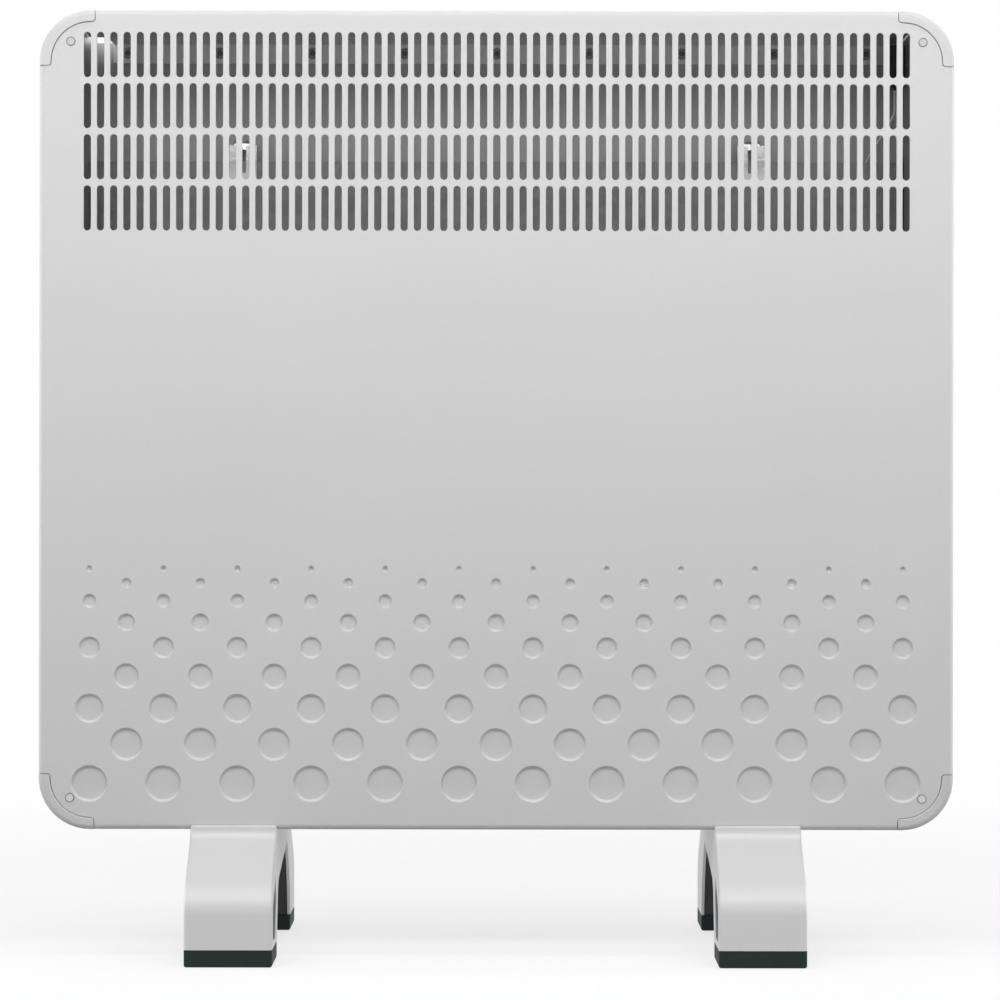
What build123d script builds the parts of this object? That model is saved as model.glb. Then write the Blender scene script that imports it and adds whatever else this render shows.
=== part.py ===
from build123d import *
import math
import os

# A wall panel convector heater standing on two arched feet, in millimetres.
# The front faces -Y, +X is to the viewer's right, +Z is up and the floor is Z = 0.
# X = 0 is the middle of the panel, and Y = 0 is the middle of the feet.

# Front panel: a pressed steel tray with four folded edges.
panel_width = 460.0
panel_height = 412.0
panel_lift = 64.0  # floor to the panel's lower edge
panel_sheet = 1.2
panel_return = 22.0  # depth of the folded edges
panel_bend = 3.0  # outer radius of the folds
panel_lip = 9.0  # second fold, inwards, along the two sides

# Grille: upright slots with round ends.
slot_width = 3.6
slot_height = 22.7
slot_pitch = 6.636
slot_margin = 24.0  # panel's side to the nearest slot, at least
slot_rows = 4
slot_row_pitch = 25.7
slot_top = 22.6  # panel's top edge to the middle of the first row
slot_end_facets = 2

# Dimples: rows that grow downwards, and even rows that sit between the odd ones.
dimple_rows = 9
dimple_margin = 25.0  # panel's side to the nearest dimple's middle, at least
dimple_pitch = 37.15
dimple_start = 131.2  # panel's lower edge to the highest row
dimple_first_step = 7.2
dimple_step_growth = 1.8
dimple_first_width = 2.1  # across the middle of the sloping rim
dimple_growth = 1.91
dimple_depth = 0.8
dimple_rim = 1.4  # width of the sloping rim
dimple_sides = 6
dimple_point = 2.3  # a floor of a smaller radius is made a point

# Corner caps, let into the panel's four corners and each held by a pin.
corner_radius = 26.0
cap_band = 6.0
cap_leg = 28.0
cap_proud = 0.6
cap_edge = 1.6
cap_gap = 0.3
lug_reach = 22.0  # how far the cap runs in behind the panel
lug_sheet = 2.0
pin_inset = 16.0
pin_radius = 1.5
pin_head_radius = 2.0
pin_head = 0.5
pin_length = 4.6

# Back case: side walls, floor and rear wall, with a flange that closes the tray's back.
case_side_inset = 16.0  # panel's side to the case's side wall
case_depth = 85.0  # panel's front face to the outside of the rear wall
case_front = 5.5  # panel's front face to the case's front edges
case_inset = 4.0  # panel's upper and lower edges to the case's
case_sheet = 0.8
case_bend = 2.0
flange_gap = 0.3
flange_margin = 1.0  # how far the flange stays inside the panel's outline
flange_corner = 15.0
intake_width = 8.0
intake_length = 46.0
intake_pitch = 22.0
intake_foot_gap = 16.75  # foot's side to the middle of the nearest outer slot
intake_inner_gap = 18.0  # foot's side to the middle of the nearest inner slot, at least
intake_side_margin = 10.0
intake_rear_margin = 10.0

# Wall slots in the rear wall, on the hooks of a wall bracket.
wall_slot_radius = 3.0
wall_slot_length = 24.0
wall_slot_spacing = 220.0
wall_slot_height = 366.0

# Top cover: the duct's upper sheet, with a flange riveted to the rear wall.
cover_flange = 11.0
cover_notch_width = 9.5
cover_notch_depth = 24.0
cover_gap = 0.4
rivet_margin = 17.0  # case's side wall to the nearest rivet, at least
rivet_pitch = 48.9
rivet_drop = 5.5  # case's top to the rivets
rivet_head_radius = 3.0
rivet_head = 1.0

# Heat shield and its two clips.
shield_sheet = 0.6
shield_stand = 19.4  # from the rear wall's inside to the shield's rear face
shield_drop = 69.0  # panel's top to the shield's
shield_bottom = 96.0
shield_side_gap = 0.4
shield_flange = 14.0
shield_notch_drop = 6.0  # bezel's lower edge to the notch
shield_notch_tall = 42.0
shield_notch_width = 22.0
clip_spacing = 266.0
clip_width = 14.4
clip_rise = 11.0
clip_drop = 10.0
clip_sheet = 0.8
clip_round = 2.5
clip_slot_width = 3.0
clip_slot_margin = 4.0
clip_gap = 0.1

# Heating element: an X-shaped radiator body on a sheathed rod.
element_height = 132.0
element_behind = 34.0  # panel's front face to the rod
element_margin = 29.2  # case's side wall to the profile's end
blade_reach = 25.0
blade_sheet = 1.6
blade_hub = 7.0
rod_radius = 3.5
rod_margin = 13.2  # case's side wall to the rod's end
rod_gap = 0.05
bracket_margin = 19.2  # case's side wall to the bracket's outer side
bracket_sheet = 1.0
bracket_width = 24.0
bracket_foot = 9.0
bracket_head = 10.0  # rod's centre to the bracket's top
insulator_width = 12.0
insulator_length = 7.0

# Thermal cut-out high in the duct, and its lead.
cutout_width = 8.0
cutout_depth = 16.0
cutout_height = 20.0
cutout_drop = 4.0  # case's top to the cut-out
cutout_pin = 3.0  # length of its terminal
cutout_behind = 60.0
lead_radius = 0.55
lead_sides = 6
lead_bend = 9.0
limiter_fall = 12.0  # straight run below the cut-out
limiter_inset = 15.0  # sideways from the cut-out to the run behind the shield
limiter_return = 7.0  # back towards the side wall, lower down
limiter_end = 4.0
limiter_end_behind = 9.0
rod_lead_inset = 1.45  # rod's end to the lead on it
rod_lead_forward = 4.0
switch_lead_forward = 8.0
terminal_lead_run = 14.0

# Controls on the right side of the case.
control_behind = 50.0  # panel's front face to the middle of the controls
bezel_above = 27.0  # knob's middle to the bezel's top
bezel_below = 87.0
bezel_width = 42.0
bezel_sheet = 3.0
bezel_corner = 3.0
knob_height = 325.0
knob_radius = 15.5
knob_sides = 20
knob_depth = 9.5
knob_gap = 0.6
knob_ridge = 5.0
knob_shell = 1.5
thermostat_size = 26.0
thermostat_depth = 22.0
spindle_radius = 3.0
spindle_length = 12.5
spindle_gap = 0.03
bush_radius = 4.6
bush_gap = 0.3
switch_high_drop = 38.0  # knob's middle to each switch's
switch_low_drop = 65.0
switch_width = 13.0
switch_height = 19.2
switch_depth = 20.0
switch_flange = 1.4
switch_rim = 1.2
switch_gap = 0.15
rocker_gap = 0.35
rocker_rise = 2.6
rocker_tip = 10.0  # degrees that the resting rocker leans
rocker_depth = 7.0
trunnion_radius = 1.1
trunnion_length = 0.5
trunnion_gap = 0.12
lens_drop = 20.0  # knob's middle to the lens's
lens_width = 7.0
lens_tall = 4.0
lens_rise = 0.8
guard_sheet = 0.6
guard_half_height = 12.0
guard_reach = 33.0
guard_notch = 16.0

# Mains connection.
terminal_height = 168.0
terminal_width = 16.0
terminal_depth = 22.0
terminal_tall = 34.0
terminal_ways = 3
terminal_forward = 2.0  # ahead of the middle of the controls
gland_height = 104.0
gland_behind = 50.0
gland_radius = 6.0
gland_nut = 9.0
gland_nut_thickness = 4.0
gland_bore = 3.6
gland_length = 9.0

# Wall catch at the top centre of the back.
catch_half_width = 32.0
catch_drop = 12.0  # panel's top to the catch's
catch_tall = 44.0
catch_depth = 9.0
catch_wall = 2.0
catch_screw_inset = 7.3  # catch's side to its screws
catch_screw_drop = 7.6
catch_screw_rise = 7.5
slider_half_width = 13.0
slider_sheet = 3.0
slider_gap = 0.35
slider_lift = 11.0  # catch's lower edge to the slider's
slider_shoulder = 7.0  # catch's top to the slider's shoulders
slider_tab = 7.0
slider_travel = 4.5
neck_half_width = 10.0
rib_half_width = 6.0
rib_tall = 6.0
spring_sheet = 0.4
spring_half_width = 9.5
screw_radius = 1.7
screw_head_radius = 3.2
screw_head = 1.8
screw_tip = 3.0

# Fasteners and the small repeats have six sides.
small_sides = 6
screw_gap = 0.15
case_screw_height = 150.0
case_screw_inset = 7.0
foot_screw_front = 38.0
foot_screw_rear = 62.0
foot_screw_radius = 2.2
foot_screw_head_radius = 4.0
foot_screw_head = 2.6

# Feet: arched shells of folded sheet around a moulded core, on rubber pads.
foot_inset = 98.5  # panel's side to the foot's middle
foot_width = 43.5
foot_sheet = 1.5
knee_height = 35.0  # floor to the corner where the toe or the heel turns back
knee_radius = 20.0
lip_drop = 5.1  # lip's top to the corner where the slope meets it
lip_radius = 7.0
toe_reach = 34.0  # ahead of the panel's front face
heel_reach = 42.0  # behind the case's rear wall
foot_lip = 2.5
foot_lip_rise = 2.5
foot_seat_gap = 0.2
arch_front = 33.0  # length of the toe on its pad
arch_rear = 33.0
arch_front_lean = 9.0
arch_front_height = 37.5
arch_rear_inset = 23.0
arch_rear_height = 50.5
arch_front_round = 13.0
arch_rear_bulge = 5.0
core_gap = 0.3
core_recess = 0.6
pad_height = 8.6
pad_chamfer = 2.0
window_low = 12.0  # leaf-shaped window in both sides of the toe
window_widest = 29.0
window_high = 42.0
window_start = 6.0  # toe's face to the window
window_end = 28.4
window_low_end = 22.2
window_tip = 24.5

past = 1.0  # how far a cutting shape reaches past what it cuts

# Places that follow from the sizes above.
panel_front = (toe_reach - case_depth - heel_reach) / 2
panel_top = panel_lift + panel_height
panel_half = panel_width / 2
panel_back = panel_front + panel_sheet
case_half_width = panel_half - case_side_inset
case_rear = panel_front + case_depth
case_top = panel_top - case_inset
case_bottom = panel_lift + case_inset
case_inner_x = case_half_width - case_sheet
rear_inside = case_rear - case_sheet
flange_front = panel_front + panel_return + flange_gap
shield_rear = rear_inside - shield_stand
shield_front = shield_rear - shield_sheet
shield_half = case_inner_x - shield_side_gap
shield_top = panel_top - shield_drop
control_y = panel_front + control_behind
bezel_bottom = knob_height - bezel_below
bezel_top = knob_height + bezel_above
switch_high_height = knob_height - switch_high_drop
switch_low_height = knob_height - switch_low_drop
lens_height = knob_height - lens_drop
shield_notch_high = bezel_bottom - shield_notch_drop
shield_notch_low = shield_notch_high - shield_notch_tall
cutout_top = case_top - cutout_drop
catch_top = panel_top - catch_drop
catch_bottom = catch_top - catch_tall
catch_screw_x = catch_half_width - catch_screw_inset
catch_screw_high = catch_top - catch_screw_drop
catch_screw_low = catch_bottom + catch_screw_rise
slider_bottom = catch_bottom + slider_lift
element_half_length = case_inner_x - element_margin
rod_half_length = case_inner_x - rod_margin
bracket_at = case_inner_x - bracket_margin
bezel_face = case_half_width + bezel_sheet
foot_x = panel_half - foot_inset
slot_columns = 1 + int((panel_width - 2 * slot_margin) / slot_pitch)
dimple_columns = 1 + int((panel_width - 2 * dimple_margin) / dimple_pitch)
rivet_count = 1 + int(2 * (case_inner_x - rivet_margin) / rivet_pitch)
intake_per_side = int((foot_x - foot_width / 2 - intake_inner_gap) / intake_pitch)
intake_outer_start = foot_x + foot_width / 2 + intake_foot_gap
intake_outer_count = 1 + int((case_inner_x - intake_side_margin - intake_outer_start) / intake_pitch)
element_y = panel_front + element_behind


def block(x0, x1, y0, y1, z0, z1):
    """A block between two opposite corners."""
    middle = Pos((x0 + x1) / 2, (y0 + y1) / 2, (z0 + z1) / 2)
    return middle * Box(abs(x1 - x0), abs(y1 - y0), abs(z1 - z0))


def polygon(points):
    """A flat face through corner points."""
    return Face(Wire.make_polygon([Vector(*point) for point in points], close=True))


def front_prism(points, y0, y1):
    """A prism along Y from an outline of (x, z) corners."""
    face = polygon([(x, y0, z) for x, z in points])
    return Solid.extrude(face, Vector(0, y1 - y0, 0))


def side_prism(points, x0, x1):
    """A prism along X from an outline of (y, z) corners."""
    face = polygon([(x0, y, z) for y, z in points])
    return Solid.extrude(face, Vector(x1 - x0, 0, 0))


def ring_points(radius, sides=small_sides):
    """Corners of a regular outline whose flats lie on the given radius."""
    corner = radius / math.cos(math.pi / sides)
    turns = [2 * math.pi * (i + 0.5) / sides for i in range(sides)]
    return [(corner * math.cos(t), corner * math.sin(t)) for t in turns]


def small_pin(radius, x, y, z, length, axis="Y"):
    """A small fastener shank that starts at a point and runs along an axis."""
    outline = ring_points(radius)
    if axis == "Y":
        face = polygon([(x + a, y, z + b) for a, b in outline])
        return Solid.extrude(face, Vector(0, length, 0))
    if axis == "X":
        face = polygon([(x, y + a, z + b) for a, b in outline])
        return Solid.extrude(face, Vector(length, 0, 0))
    face = polygon([(x + a, y + b, z) for a, b in outline])
    return Solid.extrude(face, Vector(0, 0, length))


def joined(shapes):
    """One solid from touching pieces."""
    first, *others = shapes
    return first.fuse(*others).clean()


def without(shape, tools):
    """A shape with every tool cut out of it."""
    return shape.cut(*tools)


def group(shapes):
    """Separate like solids in one piece of work."""
    return Compound(children=[Solid(shape.solid().wrapped) for shape in shapes])


# ---- front panel ----------------------------------------------------------------


def slot_outline(x, z):
    """An upright slot whose round ends have a few facets each."""
    radius = slot_width / 2
    straight = slot_height / 2 - radius
    turns = [math.pi * i / slot_end_facets for i in range(slot_end_facets + 1)]
    upper = [(x + radius * math.cos(t), z + straight + radius * math.sin(t)) for t in turns]
    lower = [(x - radius * math.cos(t), z - straight - radius * math.sin(t)) for t in turns]
    return upper + lower


def grille_slots():
    """All slots as prisms that pass through the panel's face."""
    middle = (slot_columns - 1) / 2
    slots = []
    for row in range(slot_rows):
        z = panel_top - slot_top - row * slot_row_pitch
        for column in range(slot_columns):
            outline = slot_outline((column - middle) * slot_pitch, z)
            slots.append(front_prism(outline, panel_front - past, panel_back + past))
    return slots


def dimple(x, z, width, sides):
    """A dimple pressed in from the front: a sloping rim round a flat floor, or a point in the narrowest."""
    rim_radius = (width + dimple_rim) / 2
    floor_radius = (width - dimple_rim) / 2
    turns = [2 * math.pi * (i + 0.5) / sides for i in range(sides)]
    floor_y = panel_front + dimple_depth
    rim = [(x + rim_radius * math.cos(t), panel_front, z + rim_radius * math.sin(t)) for t in turns]
    floor = [(x + floor_radius * math.cos(t), floor_y, z + floor_radius * math.sin(t)) for t in turns]
    faces = [polygon(rim)]
    if floor_radius > dimple_point:
        faces.append(polygon(floor))
    for i in range(sides):
        after = (i + 1) % sides
        if floor_radius > dimple_point:
            faces.append(polygon([rim[i], rim[after], floor[after], floor[i]]))
        else:
            faces.append(polygon([rim[i], rim[after], (x, floor_y, z)]))
    return Solid(Shell(faces))


def dimples():
    """Nine rows: each row is wider and lower than the one above by a growing step."""
    made = []
    z = panel_lift + dimple_start
    for row in range(dimple_rows):
        width = dimple_first_width + row * dimple_growth
        columns = dimple_columns - row % 2
        for column in range(columns):
            x = (column - (columns - 1) / 2) * dimple_pitch
            made.append(dimple(x, z, width, dimple_sides))
        z -= dimple_first_step + row * dimple_step_growth
    return made


def corner_places():
    """The X sign and Z sign of each corner."""
    for side in (-1, 1):
        for up in (-1, 1):
            yield side, up


def corner_point(side, up, inward, down):
    """(x, z) of a point at given distances from the panel's side and from its top or bottom edge."""
    x = side * (panel_half - inward)
    z = panel_top - down if up > 0 else panel_lift + down
    return x, z


def corner_spot(side, up, inward):
    """(x, z) of a point as far in from the panel's side as from its top or bottom edge."""
    return corner_point(side, up, inward, inward)


def corner_block(side, up, reach, y0, y1):
    """A block over one corner of the panel, with room outside it."""
    x0, z0 = corner_spot(side, up, -past)
    x1, z1 = corner_spot(side, up, reach)
    return block(x0, x1, y0, y1, z0, z1)


def rounded_slab(inset, y0, y1):
    """The panel's rounded outline drawn in by an inset, between two depths."""
    outline = RectangleRounded(panel_width - 2 * inset, panel_height - 2 * inset, corner_radius - inset)
    middle = Pos(0, y0, panel_lift + panel_height / 2) * Rot(90, 0, 0)
    return extrude(middle * outline, y0 - y1)


def folded_tray():
    """The panel's face with four rolled edges and its returns."""
    rear = panel_front + panel_return
    outer = block(-panel_half, panel_half, panel_front, rear, panel_lift, panel_top)
    outer = fillet(outer.faces().sort_by(Axis.Y)[0].edges(), panel_bend)
    x = panel_half - panel_sheet
    inner = block(-x, x, panel_back, rear + past, panel_lift + panel_sheet, panel_top - panel_sheet)
    inner = fillet(inner.faces().sort_by(Axis.Y)[0].edges(), panel_bend - panel_sheet)
    return outer - inner


def side_lip(side):
    """The second fold of a side return, which the case's flange is screwed to."""
    rear = panel_front + panel_return
    end = cap_leg + cap_gap
    outer = side * panel_half
    inner = side * (panel_half - panel_lip)
    return block(outer, inner, rear - panel_sheet, rear, panel_lift + end, panel_top - end)


def corner_cut(side, up):
    """What the panel loses at a corner, so that the cap fits with a small gap."""
    y0 = panel_front - past
    y1 = panel_front + panel_return + past
    corner = corner_block(side, up, cap_leg + cap_gap, y0, y1)
    return corner - rounded_slab(cap_band + cap_gap, y0 - past, y1 + past)


def case_screw_spots():
    """(x, z) of the screws that hold the case's flange to the panel's lips."""
    middle = panel_lift + panel_height / 2
    for side in (-1, 1):
        for level in (-1, 1):
            yield side * (panel_half - case_screw_inset), middle + level * case_screw_height


def front_panel():
    """The pressed face with its slots, dimples and folded edges."""
    tray = joined([folded_tray(), side_lip(-1), side_lip(1)])
    tray = without(tray, [corner_cut(side, up) for side, up in corner_places()])
    tray = without(tray, grille_slots())
    tray = without(tray, dimples())
    holes = []
    for side, up in corner_places():
        x, z = corner_spot(side, up, pin_inset)
        holes.append(small_pin(pin_radius + screw_gap, x, panel_front - past, z, panel_sheet + 2 * past))
    return without(tray, holes)


def corner_cap(side, up):
    """A curved band with a skirt as deep as the panel's returns and a lug for its pin."""
    front = panel_front - cap_proud
    rear = panel_front + panel_return
    lug_front = panel_back + cap_gap
    lug_rear = lug_front + lug_sheet
    outer = rounded_slab(0, front, rear)
    outer = chamfer(outer.faces().sort_by(Axis.Y)[0].edges(), cap_edge)
    hollow = rounded_slab(panel_sheet, lug_front, rear + past)
    opening = rounded_slab(cap_band, front - past, lug_front)
    leg = corner_block(side, up, cap_leg, front - past, rear + past)
    shell = (outer - hollow - opening) & leg
    edge = corner_radius / 2
    outline = [(edge, 0.0), (lug_reach, 0.0), (lug_reach, lug_reach), (0.0, lug_reach), (0.0, edge)]
    half = panel_sheet / 2
    outline = [corner_point(side, up, inward + half, down + half) for inward, down in outline]
    lug = front_prism(outline, lug_front, lug_rear)
    x, z = corner_spot(side, up, pin_inset)
    hole = small_pin(pin_radius, x, lug_front - past, z, lug_sheet + 2 * past)
    return without(joined([shell.solid(), lug]), [hole])


def corner_caps():
    """The four caps."""
    return group([corner_cap(side, up) for side, up in corner_places()])


def corner_pins():
    """Four small pins with round heads, through the panel into the caps' lugs."""
    pins = []
    for side, up in corner_places():
        x, z = corner_spot(side, up, pin_inset)
        head = small_pin(pin_head_radius, x, panel_front - pin_head, z, pin_head)
        shank = small_pin(pin_radius, x, panel_front, z, pin_length)
        pins.append(joined([head, shank]))
    return group(pins)


# ---- case -----------------------------------------------------------------------


def intake_slots():
    """Slots in the case's floor between and outside the feet."""
    y1 = rear_inside - intake_rear_margin
    y0 = y1 - intake_length
    places = [i * intake_pitch for i in range(-intake_per_side, intake_per_side + 1)]
    for i in range(intake_outer_count):
        places += [intake_outer_start + i * intake_pitch, -intake_outer_start - i * intake_pitch]
    half = intake_width / 2
    low = case_bottom - past
    high = case_bottom + case_sheet + past
    return [block(x - half, x + half, y0, y1, low, high) for x in places]


def wall_slot(x):
    """A slot along X with round ends, through the rear wall."""
    outline = SlotOverall(wall_slot_length, 2 * wall_slot_radius)
    place = Pos(x, rear_inside - past, wall_slot_height) * Rot(90, 0, 0)
    return extrude(place * outline, -(case_sheet + 2 * past))


def catch_screw_spots():
    """(x, z) of the four screws of the wall catch."""
    for side in (-1, 1):
        for z in (catch_screw_low, catch_screw_high):
            yield side * catch_screw_x, z


def rivet_places():
    """X of each rivet in the row along the top."""
    middle = (rivet_count - 1) / 2
    return [(i - middle) * rivet_pitch for i in range(rivet_count)]


def control_holes():
    """Openings in the case's right wall for the spindle's bush, the switches and the lamp."""
    x0 = case_inner_x - past
    through = case_sheet + 2 * past
    holes = [small_pin(bush_radius + bush_gap, x0, control_y, knob_height, through, "X")]
    for height in (switch_high_height, switch_low_height):
        holes.append(switch_block(height, x0, x0 + through, switch_gap))
    holes.append(lens_block(x0, x0 + through, screw_gap))
    gland_y = panel_front + gland_behind
    holes.append(small_pin(gland_radius + screw_gap, x0, gland_y, gland_height, through, "X"))
    return holes


def switch_block(height, x0, x1, margin):
    """A switch's rectangular section, grown by a margin, between two places in X."""
    half_y = switch_width / 2 + margin
    half_z = switch_height / 2 + margin
    return block(x0, x1, control_y - half_y, control_y + half_y, height - half_z, height + half_z)


def lens_block(x0, x1, margin):
    """The lamp lens's rectangular section, grown by a margin, between two places in X."""
    half_y = lens_width / 2 + margin
    half_z = lens_tall / 2 + margin
    return block(x0, x1, control_y - half_y, control_y + half_y, lens_height - half_z, lens_height + half_z)


def back_case():
    """Side walls, floor and rear wall with rolled rear edges, and the flange behind the tray."""
    front = panel_front + case_front
    outer = block(-case_half_width, case_half_width, front, case_rear, case_bottom, case_top)
    upright = outer.edges().filter_by(Axis.Z).sort_by(Axis.Y)[-2:]
    outer = fillet(upright, case_bend)
    floor = case_bottom + case_sheet
    inner = block(-case_inner_x, case_inner_x, front - past, rear_inside, floor, case_top + past)
    upright = inner.edges().filter_by(Axis.Z).sort_by(Axis.Y)[-2:]
    inner = fillet(upright, case_bend - case_sheet)
    half = panel_half - flange_margin
    low = panel_lift + flange_margin
    high = panel_top - flange_margin
    flange = block(-half, half, flange_front, flange_front + case_sheet, low, high)
    flange = chamfer(flange.edges().filter_by(Axis.Y), flange_corner)
    window = block(-case_inner_x, case_inner_x, front - past, case_rear, floor, case_top)
    flange = flange - window
    case = joined([outer - inner, flange.solid()])
    tools = intake_slots() + control_holes()
    for side in (-1, 1):
        tools.append(wall_slot(side * wall_slot_spacing / 2))
    for x, z in catch_screw_spots():
        tools.append(small_pin(screw_radius + screw_gap, x, rear_inside - past, z, case_sheet + 2 * past))
    for x, y in foot_screw_spots():
        radius = foot_screw_radius + screw_gap
        tools.append(small_pin(radius, x, y, case_bottom - past, case_sheet + 2 * past, "Z"))
    return without(case, tools)


def top_cover():
    """The duct's upper sheet, whose rear flange turns down inside the rear wall."""
    front = panel_front + case_front
    half = case_inner_x - cover_gap
    rear = rear_inside - cover_gap / 2
    low = case_top - case_sheet
    sheet = block(-half, half, front, rear, low, case_top)
    flange = block(-half, half, rear - case_sheet, rear, low - cover_flange + case_sheet, low)
    cover = joined([sheet, flange])
    notch_x = cover_notch_width - half
    notch = block(-half - past, notch_x, rear - cover_notch_depth, rear + past, 0, case_top + past)
    relief = block(half - case_bend, half + past, rear - case_bend, rear + past, 0, case_top + past)
    return without(cover, [notch, relief])


def rear_rivets():
    """A row of rivet heads on the cover's flange, inside the duct."""
    rear = rear_inside - cover_gap / 2 - case_sheet
    z = case_top - rivet_drop
    return group([small_pin(rivet_head_radius, x, rear - rivet_head, z, rivet_head) for x in rivet_places()])


def case_screws():
    """The heads of four screws that hold the case's flange to the panel's lips."""
    rear = flange_front + case_sheet
    return group([small_pin(screw_head_radius, x, rear, z, screw_head) for x, z in case_screw_spots()])


# ---- heat shield and clips ------------------------------------------------------


def heat_shield():
    """A sheet before the rear wall, with a flange turned back along each side wall."""
    sheet = block(-shield_half, shield_half, shield_front, shield_rear, shield_bottom, shield_top)
    pieces = [sheet]
    for side in (-1, 1):
        outer = side * shield_half
        inner = side * (shield_half - shield_sheet)
        rear = shield_rear + shield_flange
        pieces.append(block(outer, inner, shield_rear, rear, shield_bottom, shield_top))
    shield = joined(pieces)
    x0 = shield_half - shield_notch_width
    x1 = shield_half + past
    notch = block(x0, x1, shield_front - past, rear_inside, shield_notch_low, shield_notch_high)
    return without(shield, [notch])


def shield_clip(side):
    """A bright spring clip: a slotted tongue before the shield, bent back over its edge to the rear wall."""
    x = side * clip_spacing / 2
    half = clip_width / 2
    front = shield_front - clip_gap - clip_sheet
    low = shield_top - clip_drop
    high = shield_top + clip_rise
    rear = rear_inside - clip_gap
    tongue = block(x - half, x + half, front, front + clip_sheet, low, high)
    tongue = chamfer(tongue.edges().filter_by(Axis.Y).sort_by(Axis.Z)[-2:], clip_round)
    neck = half - clip_round
    bridge = block(x - neck, x + neck, front, rear, high - clip_sheet, high)
    tail = block(x - neck, x + neck, rear - clip_sheet, rear, low, high)
    clip = joined([tongue.solid(), bridge, tail])
    half = clip_slot_width / 2
    z0 = low + clip_slot_margin
    z1 = high - clip_slot_margin
    return without(clip, [block(x - half, x + half, front - past, front + clip_sheet + past, z0, z1)])


# ---- heating element ------------------------------------------------------------


def element_profile():
    """The radiator body: an extruded X of four blades round a hub bored for the rod."""
    length = 2 * element_half_length
    half = blade_sheet / 2
    hub = small_pin(blade_hub, -element_half_length, element_y, element_height, length, "X")
    blades = []
    for turn in (45, 135):
        plate = Box(length, 2 * blade_reach, 2 * half)
        blades.append(Pos(0, element_y, element_height) * Rot(turn, 0, 0) * plate)
    body = joined([hub] + [blade.solid() for blade in blades])
    x0 = -element_half_length - past
    bore = small_pin(rod_radius + rod_gap, x0, element_y, element_height, length + 2 * past, "X")
    return without(body, [bore])


def element_rod():
    """The straight sheathed heating rod."""
    return small_pin(rod_radius, -rod_half_length, element_y, element_height, 2 * rod_half_length, "X")


def element_insulators():
    """A square ceramic bush at each end of the rod."""
    made = []
    half = insulator_width / 2
    for side in (-1, 1):
        x0 = side * (bracket_at - bracket_sheet - screw_gap)
        x1 = x0 - side * insulator_length
        bush = block(x0, x1, element_y - half, element_y + half, element_height - half, element_height + half)
        reach = insulator_length + 2 * past
        hole = small_pin(rod_radius + rod_gap, min(x0, x1) - past, element_y, element_height, reach, "X")
        made.append(without(bush, [hole]))
    return group(made)


def element_bracket(side):
    """An upright sheet that holds one end of the rod, with its foot turned out on the case's floor."""
    floor = case_bottom + case_sheet
    outer = side * bracket_at
    inner = side * (bracket_at - bracket_sheet)
    half = bracket_width / 2
    upright = block(inner, outer, element_y - half, element_y + half, floor, element_height + bracket_head)
    end = side * (bracket_at + bracket_foot)
    foot = block(outer, end, element_y - half, element_y + half, floor, floor + bracket_sheet)
    bracket = joined([upright, foot])
    x0 = min(inner, outer) - past
    hole = small_pin(rod_radius + screw_gap, x0, element_y, element_height, bracket_sheet + 2 * past, "X")
    return without(bracket, [hole])


def lead(points, radius=lead_radius):
    """An insulated lead: straight runs joined by tangent arcs, the same thickness all along."""
    corners = [Vector(*point) for point in points]
    bends = []
    for before, at, after in zip(corners, corners[1:], corners[2:]):
        run = min((at - before).length, (after - at).length)
        turn = math.radians((at - before).get_angle(after - at))
        bends.append(min(lead_bend, 0.45 * run / math.tan(turn / 2)))
    path = FilletPolyline(*corners, radius=bends) if bends else Polyline(*corners)
    start = Plane(origin=path @ 0, z_dir=path % 0)
    return sweep(start * RegularPolygon(radius, lead_sides), path=path)


# ---- thermal cut-out -------------------------------------------------------------


def cutout_spot():
    """Middle of the cut-out's rear side."""
    x = case_inner_x - cutout_width / 2 - cover_gap
    return x, panel_front + cutout_behind + cutout_depth / 2


def thermal_cutout():
    """The dark body of the thermal cut-out, on a tab against the side wall."""
    x, y = cutout_spot()
    half = cutout_width / 2
    bottom = cutout_top - cutout_height
    body = block(x - half, x + half, y - cutout_depth / 2, y + cutout_depth / 2, bottom, cutout_top)
    pin = small_pin(lead_radius, x, y, bottom - cutout_pin, cutout_pin, "Z")
    return joined([body, pin])


def limiter_lead():
    """The white lead from the cut-out, down behind the heat shield to the thermostat."""
    x, y = cutout_spot()
    behind = shield_rear + shield_stand / 2
    top = cutout_top - cutout_height - cutout_pin
    notch = (shield_notch_low + shield_notch_high) / 2
    inner = x - limiter_inset
    points = [
        (x, y, top),
        (x, y, top - limiter_fall),
        (inner, behind, shield_top),
        (inner + limiter_return, behind, notch + limiter_fall),
        (inner + limiter_return - limiter_end, control_y + limiter_end_behind, notch),
    ]
    return lead(points)


# ---- controls --------------------------------------------------------------------


def control_bezel():
    """The moulded plate on the case's side that frames the knob, the switches and the lamp."""
    tall = bezel_top - bezel_bottom
    outline = chamfer(Rectangle(bezel_width, tall).vertices(), bezel_corner)
    place = Pos(case_half_width, control_y, (bezel_bottom + bezel_top) / 2) * Rot(0, 90, 0) * Rot(0, 0, 90)
    plate = extrude(place * outline, bezel_sheet)
    x0 = case_half_width - past
    through = bezel_sheet + 2 * past
    holes = [small_pin(bush_radius + bush_gap, x0, control_y, knob_height, through, "X")]
    for height in (switch_high_height, switch_low_height):
        holes.append(switch_block(height, x0, x0 + through, switch_gap))
    holes.append(lens_block(x0, x0 + through, screw_gap))
    return without(plate, holes)


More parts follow.
